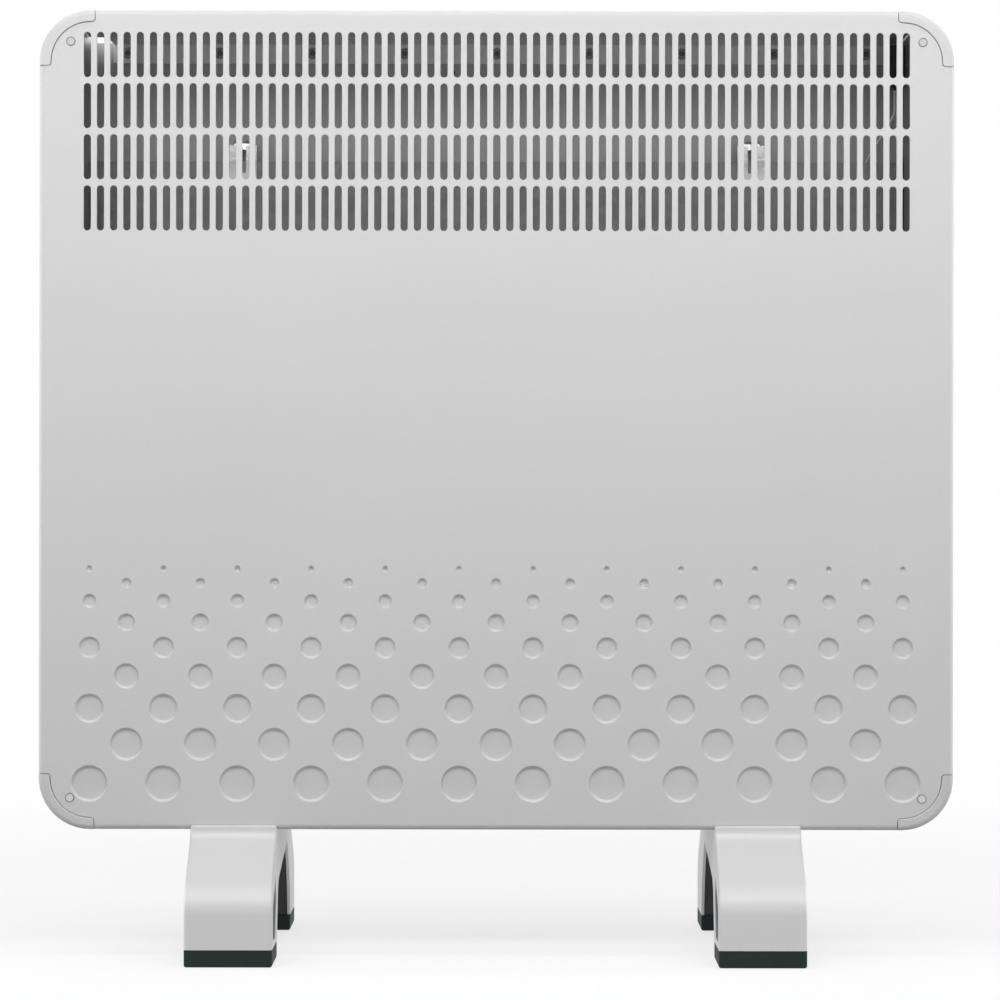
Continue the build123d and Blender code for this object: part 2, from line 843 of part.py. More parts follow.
def thermostat_body():
    """The thermostat's case inside the wall, with the bush that its spindle turns in."""
    half = thermostat_size / 2
    face = case_inner_x - switch_gap
    x0 = case_half_width - thermostat_depth
    body = block(x0, face, control_y - half, control_y + half, knob_height - half, knob_height + half)
    bush = small_pin(bush_radius, face, control_y, knob_height, bezel_face - face, "X")
    bore_start = bezel_face - 2 * bezel_sheet
    bore = Pos(bore_start, control_y, knob_height) * Rot(0, 90, 0)
    radius = spindle_radius + spindle_gap
    bore = bore * Cylinder(radius, spindle_length, align=(Align.CENTER, Align.CENTER, Align.MIN))
    return joined([body, bush]) - bore


def thermostat_spindle():
    """The round spindle that the knob is pressed on."""
    start = bezel_face - 2 * bezel_sheet + screw_gap
    end = bezel_face + knob_gap + knob_depth - 2 * knob_shell
    place = Pos(start, control_y, knob_height) * Rot(0, 90, 0)
    return place * Cylinder(spindle_radius, end - start, align=(Align.CENTER, Align.CENTER, Align.MIN))


def thermostat_knob():
    """A round knob with a grip ridge across its face, pressed on the spindle."""
    start = bezel_face + knob_gap
    base_depth = knob_depth / 2
    outline = ring_points(knob_radius, knob_sides)
    face = polygon([(start, control_y + a, knob_height + b) for a, b in outline])
    base = Solid.extrude(face, Vector(base_depth, 0, 0))
    half = knob_ridge / 2
    reach = knob_radius - knob_shell
    x1 = start + knob_depth
    x0 = start + base_depth
    ridge = block(x0, x1, control_y - half, control_y + half, knob_height - reach, knob_height + reach)
    knob = joined([base, ridge])
    length = past + knob_depth - 2 * knob_shell
    radius = spindle_radius + spindle_gap
    return without(knob, [small_pin(radius, start - past, control_y, knob_height, length, "X")])


def switch_body(height):
    """A rocker switch's housing: a flanged box with a well for the rocker."""
    x0 = case_half_width - switch_depth
    flange_x = bezel_face + switch_flange
    half_y = switch_width / 2
    half_z = switch_height / 2
    body = switch_block(height, x0, bezel_face, 0)
    flange = switch_block(height, bezel_face, flange_x, switch_rim)
    housing = joined([body, flange])
    well_x = flange_x - rocker_depth - rocker_gap
    wall = switch_rim
    y0 = control_y - half_y + wall
    y1 = control_y + half_y - wall
    well = block(well_x, flange_x + past, y0, y1, height - half_z + wall, height + half_z - wall)
    reach = trunnion_length + trunnion_gap
    tools = [well]
    for side in (-1, 1):
        start = y0 - reach if side < 0 else y1
        radius = trunnion_radius + trunnion_gap
        tools.append(small_pin(radius, flange_x - 2 * trunnion_radius, start, height, reach))
    return without(housing, tools)


def rocker(height):
    """A paddle with two sloping faces on a pair of small trunnions, leaning to its off side."""
    flange_x = bezel_face + switch_flange
    pivot_x = flange_x - 2 * trunnion_radius
    wall = switch_rim + rocker_gap
    half_y = switch_width / 2 - wall
    half_z = switch_height / 2 - wall
    rise = flange_x + rocker_rise - pivot_x
    drop = rocker_depth - 2 * trunnion_radius - rocker_gap
    lean = math.tan(math.radians(rocker_tip))
    upright = half_z - rocker_gap - rise * lean
    outline = [
        (-drop, -half_z / 2),
        (-rocker_gap, -upright),
        (rise, -upright),
        (rise - half_z * lean, 0),
        (rise, upright),
        (-rocker_gap, upright),
        (-drop, half_z / 2),
    ]
    face = polygon([(pivot_x + a, control_y - half_y, height + b) for a, b in outline])
    paddle = Solid.extrude(face, Vector(0, 2 * half_y, 0))
    reach = rocker_gap + trunnion_length
    radius = trunnion_radius * math.cos(math.pi / small_sides)
    pins = []
    for side in (-1, 1):
        start = control_y - half_y - reach if side < 0 else control_y + half_y
        pins.append(small_pin(radius, pivot_x, start, height, reach))
    tilted = joined([paddle] + pins)
    return tilted.rotate(Axis((pivot_x, control_y, height), (0, 1, 0)), rocker_tip)


def indicator_lens():
    """The small lamp window, with a lip that lies on the bezel."""
    x0 = case_inner_x - 2 * bezel_sheet
    stem = lens_block(x0, bezel_face, 0)
    lip = lens_block(bezel_face, bezel_face + lens_rise, switch_rim)
    return joined([stem, lip])


def control_guard():
    """A folded sheet inside the duct that keeps the heat from the controls."""
    low = bezel_bottom - guard_half_height
    high = bezel_top + guard_half_height
    x0 = case_half_width - guard_reach
    x1 = case_inner_x - cover_gap
    y0 = panel_front + 2 * case_front
    y1 = shield_front - screw_gap
    outer = block(x0, x1, y0, y1, low, high)
    inner = block(x0 + guard_sheet, x1 + past, y0 - past, y1 + past, low + guard_sheet, high - guard_sheet)
    notch = block(x1 - guard_notch, x1 + past, y0 - past, control_y, low - past, low + guard_sheet + past)
    return without(outer, [inner, notch])


# ---- mains connection ------------------------------------------------------------


def terminal_spot():
    """Middle of the terminal block."""
    return case_inner_x - terminal_width / 2 - screw_gap, control_y - terminal_forward


def terminal_block():
    """Three screw terminals in a row in a moulded block."""
    x, y = terminal_spot()
    half_x = terminal_width / 2
    half_y = terminal_depth / 2
    low = terminal_height - terminal_tall / 2
    body = block(x - half_x, x + half_x, y - half_y, y + half_y, low, low + terminal_tall)
    pitch = terminal_tall / terminal_ways
    groove = pitch / 6
    tools = []
    for i in range(1, terminal_ways):
        z = low + i * pitch
        y0 = y - half_y - past
        y1 = y + half_y + past
        tools.append(block(x - half_x - past, x + half_x / 2, y0, y1, z - groove, z + groove))
    return without(body, tools)


def cable_gland():
    """The bush through the case's side wall that the mains enters by."""
    y = panel_front + gland_behind
    x0 = case_inner_x - gland_nut_thickness
    sleeve = small_pin(gland_radius, x0, y, gland_height, case_sheet + gland_nut_thickness, "X")
    nut = small_pin(gland_nut, case_half_width, y, gland_height, gland_nut_thickness, "X")
    snout = small_pin(gland_radius, case_half_width, y, gland_height, gland_length, "X")
    gland = joined([sleeve, nut, snout])
    length = gland_nut_thickness + case_sheet + gland_length + 2 * past
    return without(gland, [small_pin(gland_bore, x0 - past, y, gland_height, length, "X")])


def element_leads():
    """Two leads: from the rod's right end to the switches, and from its left end to the terminals."""
    near = rod_half_length - rod_lead_inset
    x, y = terminal_spot()
    start = element_height + rod_radius / math.cos(math.pi / small_sides)
    first = [
        (near, element_y, start),
        (near, element_y, start + 2 * lead_bend),
        (near, element_y - rod_lead_forward, bezel_bottom - guard_half_height),
        (near, control_y - switch_lead_forward, switch_low_height - switch_height),
    ]
    route = rear_inside - shield_stand - 3 * lead_bend / 2
    height = element_height + 4 * lead_bend
    entry = terminal_height - terminal_tall / 3
    second = [
        (-near, element_y, start),
        (-near, element_y, start + lead_bend),
        (-near, route, height),
        (x - 2 * terminal_lead_run, route, height),
        (x - terminal_lead_run, y, entry),
        (x - terminal_width / 2, y, entry),
    ]
    return group([lead(first), lead(second)])


# ---- wall catch ------------------------------------------------------------------


def slider_top():
    """Top of the slider's wide part, at rest under the housing's shoulders."""
    return catch_top - slider_shoulder


def rib_low():
    """Lower edge of the slider's finger rib."""
    return slider_bottom + slider_tab


def wall_catch_housing():
    """A shallow moulded box on the outside of the rear wall; only the slider's neck passes its top."""
    face = case_rear + catch_depth
    outer = block(-catch_half_width, catch_half_width, case_rear, face, catch_bottom, catch_top)
    outer = chamfer(outer.edges().filter_by(Axis.Y), catch_wall)
    inner_y = face - catch_wall
    wide = slider_half_width + slider_gap
    narrow = neck_half_width + slider_gap
    well = block(-wide, wide, case_rear - past, inner_y, catch_bottom + catch_wall, slider_top() + screw_gap)
    throat = block(-narrow, narrow, case_rear - past, inner_y, slider_top(), catch_top + past)
    half = rib_half_width + slider_gap
    low = rib_low() - slider_travel - slider_gap
    high = rib_low() + rib_tall + slider_gap
    window = block(-half, half, inner_y - past, face + past, low, high)
    holes = []
    for x, z in catch_screw_spots():
        holes.append(small_pin(screw_radius + screw_gap, x, case_rear - past, z, catch_depth + 2 * past))
    return without(outer, [well, throat, window] + holes)


def wall_catch_slider():
    """The sliding tongue: its neck latches the wall bracket, and its rib is pushed down to let go."""
    y0 = case_rear + catch_wall
    y1 = y0 + slider_sheet
    plate = block(-slider_half_width, slider_half_width, y0, y1, slider_bottom, slider_top())
    neck = block(-neck_half_width, neck_half_width, y0, y1, slider_top(), catch_top + slider_tab)
    finger = case_rear + catch_depth + catch_wall
    rib = block(-rib_half_width, rib_half_width, y1, finger, rib_low(), rib_low() + rib_tall)
    return joined([plate, neck, rib])


def wall_catch_spring():
    """A bent leaf spring under the slider."""
    y0 = case_rear + catch_wall
    high = slider_bottom - screw_gap
    low = catch_bottom + catch_wall + screw_gap
    outline = [
        (-spring_half_width, low),
        (0, high - spring_sheet),
        (spring_half_width, low),
        (spring_half_width + spring_sheet, low + spring_sheet),
        (0, high),
        (-spring_half_width - spring_sheet, low + spring_sheet),
    ]
    return front_prism(outline, y0, y0 + slider_sheet)


def wall_catch_screws():
    """Four screws whose tips show inside the duct."""
    rear = case_rear + catch_depth
    screws = []
    for x, z in catch_screw_spots():
        head = small_pin(screw_head_radius, x, rear, z, screw_head)
        start = rear_inside - screw_tip
        shank = small_pin(screw_radius, x, start, z, rear - start)
        screws.append(joined([head, shank]))
    return group(screws)


# ---- feet ------------------------------------------------------------------------


def foot_screw_spots():
    """(x, y) of the screws that hold both feet."""
    for side in (-1, 1):
        for behind in (foot_screw_front, foot_screw_rear):
            yield side * foot_x, panel_front + behind


def rounded_face(corners, radii, straight):
    """A flat face through (y, z) corners, some of them rounded by an arc or by two chords."""
    spots = [Vector(0, y, z) for y, z in corners]
    turns = []
    for i, at in enumerate(spots):
        back = (spots[i - 1] - at).normalized()
        ahead = (spots[(i + 1) % len(spots)] - at).normalized()
        half = math.radians(back.get_angle(ahead)) / 2
        reach = radii[i] / math.tan(half)
        middle = at + (back + ahead).normalized() * radii[i] * (1 / math.sin(half) - 1) if radii[i] else at
        turns.append((at + back * reach, middle, at + ahead * reach))
    edges = []
    for i, (start, middle, end) in enumerate(turns):
        edges.append(Edge.make_line(turns[i - 1][2], start))
        if radii[i] and straight:
            edges += [Edge.make_line(start, middle), Edge.make_line(middle, end)]
        elif radii[i]:
            edges.append(Edge.make_three_point_arc(start, middle, end))
    return Face(Wire(edges))


def leg_corners(tip, lip, lip_top, direction, inset):
    """The leg's foot, knee and upper corner, drawn in by an inset: upright, then sloping back to the lip."""
    run = abs(lip - tip)
    rise = lip_top - lip_drop - knee_height
    shift = inset * run / (math.hypot(run, rise) + rise)
    side = direction * inset
    low = (tip - side, pad_height)
    knee = (tip - side, knee_height - shift)
    upper = (lip - side, lip_top - lip_drop - shift)
    return [low, knee, upper]


def foot_outline(inset):
    """The foot's side view without its arch, drawn in by an inset; inner outlines have straight knees."""
    seat = panel_lift - inset
    rear_seat = case_bottom - inset
    lip_top = panel_lift + foot_lip_rise
    back_top = case_bottom + foot_lip_rise
    toe = leg_corners(panel_front - toe_reach, panel_front - foot_lip, lip_top, -1, inset)
    heel = leg_corners(case_rear + heel_reach, case_rear + foot_lip, back_top, 1, inset)
    step = flange_front + case_sheet + foot_seat_gap + inset
    if inset:
        top = [(toe[2][0], seat), (step, seat), (step, rear_seat), (heel[2][0], rear_seat)]
    else:
        face = panel_front - foot_seat_gap
        rear = case_rear + foot_seat_gap
        top = [(toe[2][0], lip_top), (face, lip_top), (face, seat), (step, seat), (step, rear_seat)]
        top += [(rear, rear_seat), (rear, back_top), (heel[2][0], back_top)]
    corners = toe + top + heel[::-1]
    knee = knee_radius - inset
    upper = 0 if inset else lip_radius
    radii = [0, knee, upper] + [0] * len(top) + [upper, knee, 0]
    return rounded_face(corners, radii, inset > 0)


def arch_outline(rise):
    """The arch under the foot, raised by a recess where that is asked."""
    low = pad_height - past
    y0 = panel_front - toe_reach + arch_front
    y1 = case_rear + heel_reach - arch_rear
    front_top = Vector(0, y0 + arch_front_lean - rise, arch_front_height + rise)
    rear_top = Vector(0, y1 - arch_rear_inset + rise / 2, arch_rear_height + rise)
    front_low = Vector(0, y0 - rise, low)
    rear_low = Vector(0, y1 + rise, low)
    middle = (rear_top + rear_low) / 2 + Vector(0, arch_rear_bulge, 0)
    edges = [
        Edge.make_line(front_low, front_top),
        Edge.make_line(front_top, rear_top),
        Edge.make_three_point_arc(rear_top, middle, rear_low),
        Edge.make_line(rear_low, front_low),
    ]
    return Face(Wire(edges))


def across(face, x, half):
    """A prism along X over a width about a place."""
    return Solid.extrude(face.moved(Pos(x - half, 0, 0)), Vector(2 * half, 0, 0))


def arch(x, half, rise):
    """The arch's space across a width, with its front corner rounded."""
    space = across(arch_outline(rise), x, half)
    corner = space.edges().filter_by(Axis.X).sort_by(Axis.Y)
    upper = [edge for edge in corner if edge.center().Z > pad_height + rise]
    return fillet(upper[0], arch_front_round)


def window(x, half):
    """A leaf-shaped window through the toe's sides, pointed at its top."""
    toe = panel_front - toe_reach
    outline = [
        (toe + window_start, window_low),
        (toe + window_start, window_widest),
        (toe + window_tip, window_high),
        (toe + window_end, window_widest),
        (toe + window_low_end, window_low),
    ]
    return side_prism(outline, x - half, x + half)


def foot_shell(x):
    """The folded silver shell: toe, heel and top in one band between two side walls."""
    half = foot_width / 2
    inside = half - foot_sheet
    outer = across(foot_outline(0), x, half)
    hollow = across(foot_outline(foot_sheet), x, inside)
    shell = without(outer, [arch(x, half + past, 0), hollow, window(x, half + past)])
    return without(shell, foot_screw_holes(x))


def foot_screw_holes(x):
    """Room for both screws of one foot in its shell."""
    spots = [y for spot_x, y in foot_screw_spots() if abs(spot_x - x) < foot_width]
    return [small_pin(foot_screw_radius + screw_gap, x, y, arch_rear_height, case_bottom, "Z") for y in spots]


def foot_core(x):
    """The moulded core inside the shell, black under the arch, with a well for the screws' heads."""
    half = foot_width / 2 - foot_sheet - core_gap
    core = across(foot_outline(foot_sheet + core_gap), x, half)
    reach = foot_screw_head_radius + core_gap + screw_gap
    y0 = panel_front + foot_screw_front - 2 * reach
    y1 = panel_front + foot_screw_rear + 2 * reach
    well = block(x - 2 * reach, x + 2 * reach, y0, y1, pad_height, case_top)
    return without(core, [arch(x, half + past, core_recess), well])


def foot_screws():
    """Four screws up through the feet into the case's floor."""
    top = case_bottom - foot_sheet
    screws = []
    for x, y in foot_screw_spots():
        head = small_pin(foot_screw_head_radius, x, y, top - foot_screw_head, foot_screw_head, "Z")
        shank = small_pin(foot_screw_radius, x, y, top, case_bottom + case_sheet + screw_tip - top, "Z")
        screws.append(joined([head, shank]))
    return group(screws)


def foot_pad(x, start, length):
    """A rubber block with chamfered lower edges."""
    half = foot_width / 2
    pad = block(x - half, x + half, start, start + length, 0, pad_height)
    return chamfer(pad.faces().sort_by(Axis.Z)[0].edges(), pad_chamfer)


# ---- the whole heater ------------------------------------------------------------


def heater():
    """Every piece of the heater by name."""
    pieces = {"front_panel": front_panel(), "corner_caps": corner_caps(), "corner_pins": corner_pins()}
    pieces["back_case"] = back_case()
    pieces["top_cover"] = top_cover()
    pieces["rear_rivets"] = rear_rivets()
    pieces["case_screws"] = case_screws()
    pieces["heat_shield"] = heat_shield()
    pieces["element_profile"] = element_profile()
    pieces["element_rod"] = element_rod()
    pieces["element_insulators"] = element_insulators()
    pieces["element_leads"] = element_leads()
    pieces["thermal_cutout"] = thermal_cutout()
    pieces["limiter_lead"] = limiter_lead()
    pieces["control_bezel"] = control_bezel()
    pieces["control_guard"] = control_guard()
    pieces["thermostat_body"] = thermostat_body()
    pieces["thermostat_spindle"] = thermostat_spindle()
    pieces["thermostat_knob"] = thermostat_knob()
    pieces["indicator_lens"] = indicator_lens()
    pieces["terminal_block"] = terminal_block()
    pieces["cable_gland"] = cable_gland()
    pieces["wall_catch_housing"] = wall_catch_housing()
    pieces["wall_catch_slider"] = wall_catch_slider()
    pieces["wall_catch_spring"] = wall_catch_spring()
    pieces["wall_catch_screws"] = wall_catch_screws()
    pieces["foot_screws"] = foot_screws()
    for name, height in (("high", switch_high_height), ("low", switch_low_height)):
        pieces[f"switch_body_{name}"] = switch_body(height)
        pieces[f"rocker_{name}"] = rocker(height)
    for name, side in (("left", -1), ("right", 1)):
        x = side * foot_x
        pieces[f"shield_clip_{name}"] = shield_clip(side)
        pieces[f"element_bracket_{name}"] = element_bracket(side)
        pieces[f"foot_shell_{name}"] = foot_shell(x)
        pieces[f"foot_core_{name}"] = foot_core(x)
        pieces[f"foot_pad_front_{name}"] = foot_pad(x, panel_front - toe_reach, arch_front)
        pieces[f"foot_pad_rear_{name}"] = foot_pad(x, case_rear + heel_reach - arch_rear, arch_rear)
    return pieces


os.makedirs("parts", exist_ok=True)
for node, shape in heater().items():
    export_step(shape, f"parts/{node}.step")
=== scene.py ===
import math

import bmesh
import bpy
import numpy as np
from bpy.props import FloatProperty, FloatVectorProperty, PointerProperty
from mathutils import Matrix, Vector
from mathutils.geometry import delaunay_2d_cdt


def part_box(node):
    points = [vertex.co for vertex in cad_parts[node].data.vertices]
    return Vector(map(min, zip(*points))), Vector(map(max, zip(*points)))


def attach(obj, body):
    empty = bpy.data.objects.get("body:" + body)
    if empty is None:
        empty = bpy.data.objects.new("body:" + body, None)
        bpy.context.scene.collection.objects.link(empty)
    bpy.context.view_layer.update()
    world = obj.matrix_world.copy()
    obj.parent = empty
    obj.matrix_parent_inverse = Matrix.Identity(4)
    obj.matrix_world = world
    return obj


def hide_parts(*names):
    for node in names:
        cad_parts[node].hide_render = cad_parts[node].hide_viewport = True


bl_info = {
    "name": "Panel convector heater",
    "version": (1, 0, 0),
    "blender": (4, 5, 0),
    "location": "3D View > Sidebar > Heater",
    "description": "Dresses the packed panel heater in finely shaped pieces and their finishes",
    "category": "Object",
}

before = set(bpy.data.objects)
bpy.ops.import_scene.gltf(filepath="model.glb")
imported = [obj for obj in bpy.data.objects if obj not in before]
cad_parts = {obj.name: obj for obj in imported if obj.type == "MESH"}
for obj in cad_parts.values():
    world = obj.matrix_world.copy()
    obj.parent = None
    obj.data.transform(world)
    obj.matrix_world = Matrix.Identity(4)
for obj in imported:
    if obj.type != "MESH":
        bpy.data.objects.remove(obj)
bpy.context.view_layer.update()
MM = 0.001
MAIN_BODY = "heater"


# ---- sizes and colours that a user may change ----------------------------------------


class HeaterSizes(bpy.types.PropertyGroup):
    """Sizes of the fine detail, in millimetres."""

    roll: FloatProperty(name="Panel roll", description="Outer radius of the panel's rolled edges", default=3.0)
    slot_edge: FloatProperty(name="Slot edge", description="Soft rounding of a slot's front edge", default=0.25)
    dimple_depth: FloatProperty(name="Dimple depth", description="Depth of a pressed dimple", default=2.0)
    dimple_soft: FloatProperty(name="Dimple softness", description="How far a dimple's bend spreads", default=0.1)


def colour_choice(label, told, *value):
    """A colour that a user may change."""
    return FloatVectorProperty(name=label, description=told, subtype="COLOR", default=value)


class HeaterColours(bpy.types.PropertyGroup):
    """Colours of the finishes, as linear light."""

    lacquer: colour_choice("Lacquer", "Panel and case", 0.66, 0.66, 0.66)
    caps: colour_choice("Caps", "Corner caps", 0.64, 0.64, 0.64)
    silver: colour_choice("Silver", "Feet", 0.70, 0.70, 0.70)
    rubber: colour_choice("Rubber", "Pads", 0.017, 0.027, 0.028)
    dark: colour_choice("Dark plastic", "Controls", 0.045, 0.046, 0.048)
    lens: colour_choice("Lens", "Indicator lens", 0.5, 0.022, 0.01)


# ---- surfaces -------------------------------------------------------------------------

VIEWS = {"front": (0, 2, 1), "side": (1, 2, 0), "floor": (0, 1, 2)}  # the axes across, up and into each view
OFF_AXIS = (0.31, 0.87, 0.38)  # a direction that no tube here runs along
SAME_POINT = 1000  # points that round to the same thousandth of a millimetre are one


def unit(vectors):
    """Vectors of the same directions, each one long."""
    return vectors / np.linalg.norm(vectors, axis=-1, keepdims=True)


def on_circle(turn):
    """Points of the circle of radius one at the given angles: (cos t, sin t)."""
    return np.stack([np.cos(turn), np.sin(turn)], -1)


def full_turn(sides):
    """Equal angles once round. The last is nought again, so that the seam closes exactly."""
    turn = 2 * math.pi * np.arange(sides + 1) / sides
    turn[-1] = 0
    return turn


def closed_up(array):
    """The array with its first entry repeated at the end."""
    return np.concatenate([array, array[:1]])


def placed(a, b, depth, view):
    """Points in space from two flat coordinates and a depth along the view's third axis."""
    a, b, depth = np.broadcast_arrays(a, b, depth)
    out = np.empty(a.shape + (3,))
    for index, value in zip(VIEWS[view], (a, b, depth)):
        out[..., index] = value
    return out


class Surface:
    """Patches that close one skin, in millimetres.

    Points within a thousandth of a millimetre become one, each corner of a face keeps the
    normal of its own patch, and a face whose turning disagrees with its normals is turned round."""

    def __init__(self):
        self.points, self.normals, self.faces, self.count = [], [], [], 0

    def add(self, points, normals, faces):
        """Adds one patch. The normals are one for all points or one for each."""
        points = np.asarray(points, float).reshape(-1, 3)
        if np.ndim(normals) == 1:
            normals = np.broadcast_to(np.asarray(normals, float), points.shape)
        faces = np.asarray(faces)
        if faces.shape[1] == 3:
            faces = np.concatenate([faces, faces[:, -1:]], 1)
        self.points.append(points.copy())
        self.normals.append(np.array(normals, float).reshape(-1, 3))
        self.faces.append(faces + self.count)
        self.count += len(points)

    def grid(self, points, normals):
        """Quads between neighbours of an array of points (rows, columns) or of a stack of such arrays."""
        index = np.arange(points[..., 0].size).reshape(points.shape[:-1])
        quads = [index[..., :-1, :-1], index[..., :-1, 1:], index[..., 1:, 1:], index[..., 1:, :-1]]
        self.add(points, np.broadcast_to(normals, points.shape), np.stack(quads, -1).reshape(-1, 4))

    def flat(self, loops, depth, view, sign):
        """A flat face inside the first outline and outside the others, at one depth."""
        points, faces = filled(loops)
        normal = placed(0.0, 0.0, float(sign), view)
        self.add(placed(points[:, 0], points[:, 1], depth, view), normal, faces)

    def tip(self, x, z, degrees):
        """Turns all points and normals about a line along Y through (x, z)."""
        turn = math.radians(degrees)
        for points, at in [(spots, (x, z)) for spots in self.points] + [(lean, (0, 0)) for lean in self.normals]:
            a, b = points[:, 0] - at[0], points[:, 2] - at[1]
            points[:, 0] = at[0] + a * math.cos(turn) + b * math.sin(turn)
            points[:, 2] = at[1] + b * math.cos(turn) - a * math.sin(turn)

    def mesh(self, name):
        """The mesh in metres, from whole arrays."""
        points, normals, faces = map(np.concatenate, (self.points, self.normals, self.faces))
        key = np.round(points * SAME_POINT + 0.1237).astype(np.int64)  # the odd part keeps round sizes off a border
        _, first, where = np.unique(key, axis=0, return_index=True, return_inverse=True)
        corner = where.reshape(-1)[faces]
        spots = points[first]
        at = spots[corner]
        lean = np.cross(at[:, 2] - at[:, 0], at[:, 3] - at[:, 1])
        wrong = np.einsum("ij,ij->i", lean, normals[faces].sum(1)) < 0
        faces[wrong], corner[wrong] = faces[wrong, ::-1], corner[wrong, ::-1]
        repeated = corner == np.roll(corner, 1, axis=1)
        crossed = (corner[:, 0] == corner[:, 2]) | (corner[:, 1] == corner[:, 3])
        keep = (repeated.sum(1) < 2) & ~crossed
        used = ~repeated & keep[:, None]
        loops, loop_normals = corner[used], normals[faces[used]]
        sizes = 4 - repeated[keep].sum(1)
        kept, loops = np.unique(loops, return_inverse=True)
        mesh = bpy.data.meshes.new(name)
        mesh.vertices.add(len(kept))
        mesh.vertices.foreach_set("co", (spots[kept] * MM).astype(np.float32).ravel())
        mesh.loops.add(len(loops))
        mesh.loops.foreach_set("vertex_index", loops.reshape(-1).astype(np.int32))
        mesh.polygons.add(len(sizes))
        mesh.polygons.foreach_set("loop_start", (np.cumsum(sizes) - sizes).astype(np.int32))
        mesh.update(calc_edges=True)
        mesh.polygons.foreach_set("use_smooth", np.ones(len(sizes), bool))
        length = np.linalg.norm(loop_normals, axis=1, keepdims=True)
        mesh.normals_split_custom_set((loop_normals / np.maximum(length, 1e-9)).tolist())
        if mesh.validate():
            print("mended mesh", name)
        return mesh


def filled(loops):
    """(points, triangles) of the area inside the first outline and outside the rest."""
    points = np.concatenate(loops)
    ends = np.cumsum([len(loop) for loop in loops])
    outlines = [list(range(end - len(loop), end)) for loop, end in zip(loops, ends)]
    done = delaunay_2d_cdt([Vector(p) for p in points.tolist()], [], outlines, 2, 1e-5)
    exact = np.array([points[origin[0]] if origin else spot[:] for spot, origin in zip(done[0], done[3])])
    return exact, np.array(done[2])


def rounded_path(corners, radii=0.0, closed=True, steps=4, sign=1.0):
    """Points and normals along straight runs joined by arcs.

    At each corner the arc's centre lies a radius off both runs, and its points turn by equal
    angles from one run's normal to the other's. A radius of nought gives the corner twice,
    once with each run's normal."""
    corners = np.asarray(corners, float)
    radii = np.broadcast_to(radii, len(corners))
    run = unit(np.roll(corners, -1, 0) - corners)
    side = np.stack([run[:, 1], -run[:, 0]], 1)
    count = len(corners)
    first, last = (0, count) if closed else (1, count - 1)
    index = np.arange(first, last)
    before, after = run[index - 1], run[index]
    turn = np.arctan2(before[:, 0] * after[:, 1] - before[:, 1] * after[:, 0], (before * after).sum(1))
    angle = turn[:, None] * np.linspace(0, 1, steps + 1)[None, :]
    cosine, sine = np.cos(angle), np.sin(angle)
    a, b = side[index - 1][:, :1], side[index - 1][:, 1:]
    normal = np.stack([a * cosine - b * sine, a * sine + b * cosine], -1)
    radius = radii[index]
    start = corners[index] - before * (radius * np.tan(abs(turn) / 2))[:, None]
    way = (np.sign(turn) * radius)[:, None]
    centre = start - side[index - 1] * way
    spots = centre[:, None] + normal * way[:, None]
    spots, normal = spots.reshape(-1, 2), normal.reshape(-1, 2)
    if not closed:
        spots = np.concatenate([corners[:1], spots, corners[-1:]])
        normal = np.concatenate([side[:1], normal, side[-2:-1]])
    return spots, normal * sign


def ring_outline(a, b, radius, sides, sign=1.0):
    """A circle about (a, b) as points and normals, one point for each equal angle."""
    normal = on_circle(2 * math.pi * np.arange(sides) / sides)
    return np.array([a, b]) + radius * normal, normal * sign


def box_outline(a0, a1, b0, b1, radius=0.0, steps=4, sign=1.0):
    """A rectangle with rounded corners, anticlockwise."""
    return rounded_path([(a0, b0), (a1, b0), (a1, b1), (a0, b1)], radius, True, steps, sign)


def edges_of(outline):
    """Runs of a closed outline: both ends, the normals at both ends and the run's own normal."""
    points, normals = outline
    after, after_normals = np.roll(points, -1, 0), np.roll(normals, -1, 0)
    keep = np.linalg.norm(after - points, axis=1) > 1e-6
    start, end, first, second = points[keep], after[keep], normals[keep], after_normals[keep]
    run = unit(end - start)
    own = np.stack([run[:, 1], -run[:, 0]], 1)
    own = own * np.where(((first + second) * own).sum(1, keepdims=True) < 0, -1.0, 1.0)
    return start, end, first, second, own


def corner_shifts(own, radius):
    """How far each corner moves when the runs beside it move in by their radii.

    A corner goes to the crossing of both moved runs, or halfway between them where they are nearly in line."""
    before, after = np.roll(own, 1, 0), own
    near, far = np.roll(radius, 1), radius
    cross = before[:, 0] * after[:, 1] - before[:, 1] * after[:, 0]
    in_line = abs(cross) < 0.02
    mean = -(near + far)[:, None] / 2 * (before + after) / np.maximum(1 + (before * after).sum(1), 0.01)[:, None]
    safe = np.where(in_line, 1.0, cross)
    a = (far * before[:, 1] - near * after[:, 1]) / safe
    b = (near * after[:, 0] - far * before[:, 0]) / safe
    return np.where(in_line[:, None], mean, np.stack([a, b], 1))


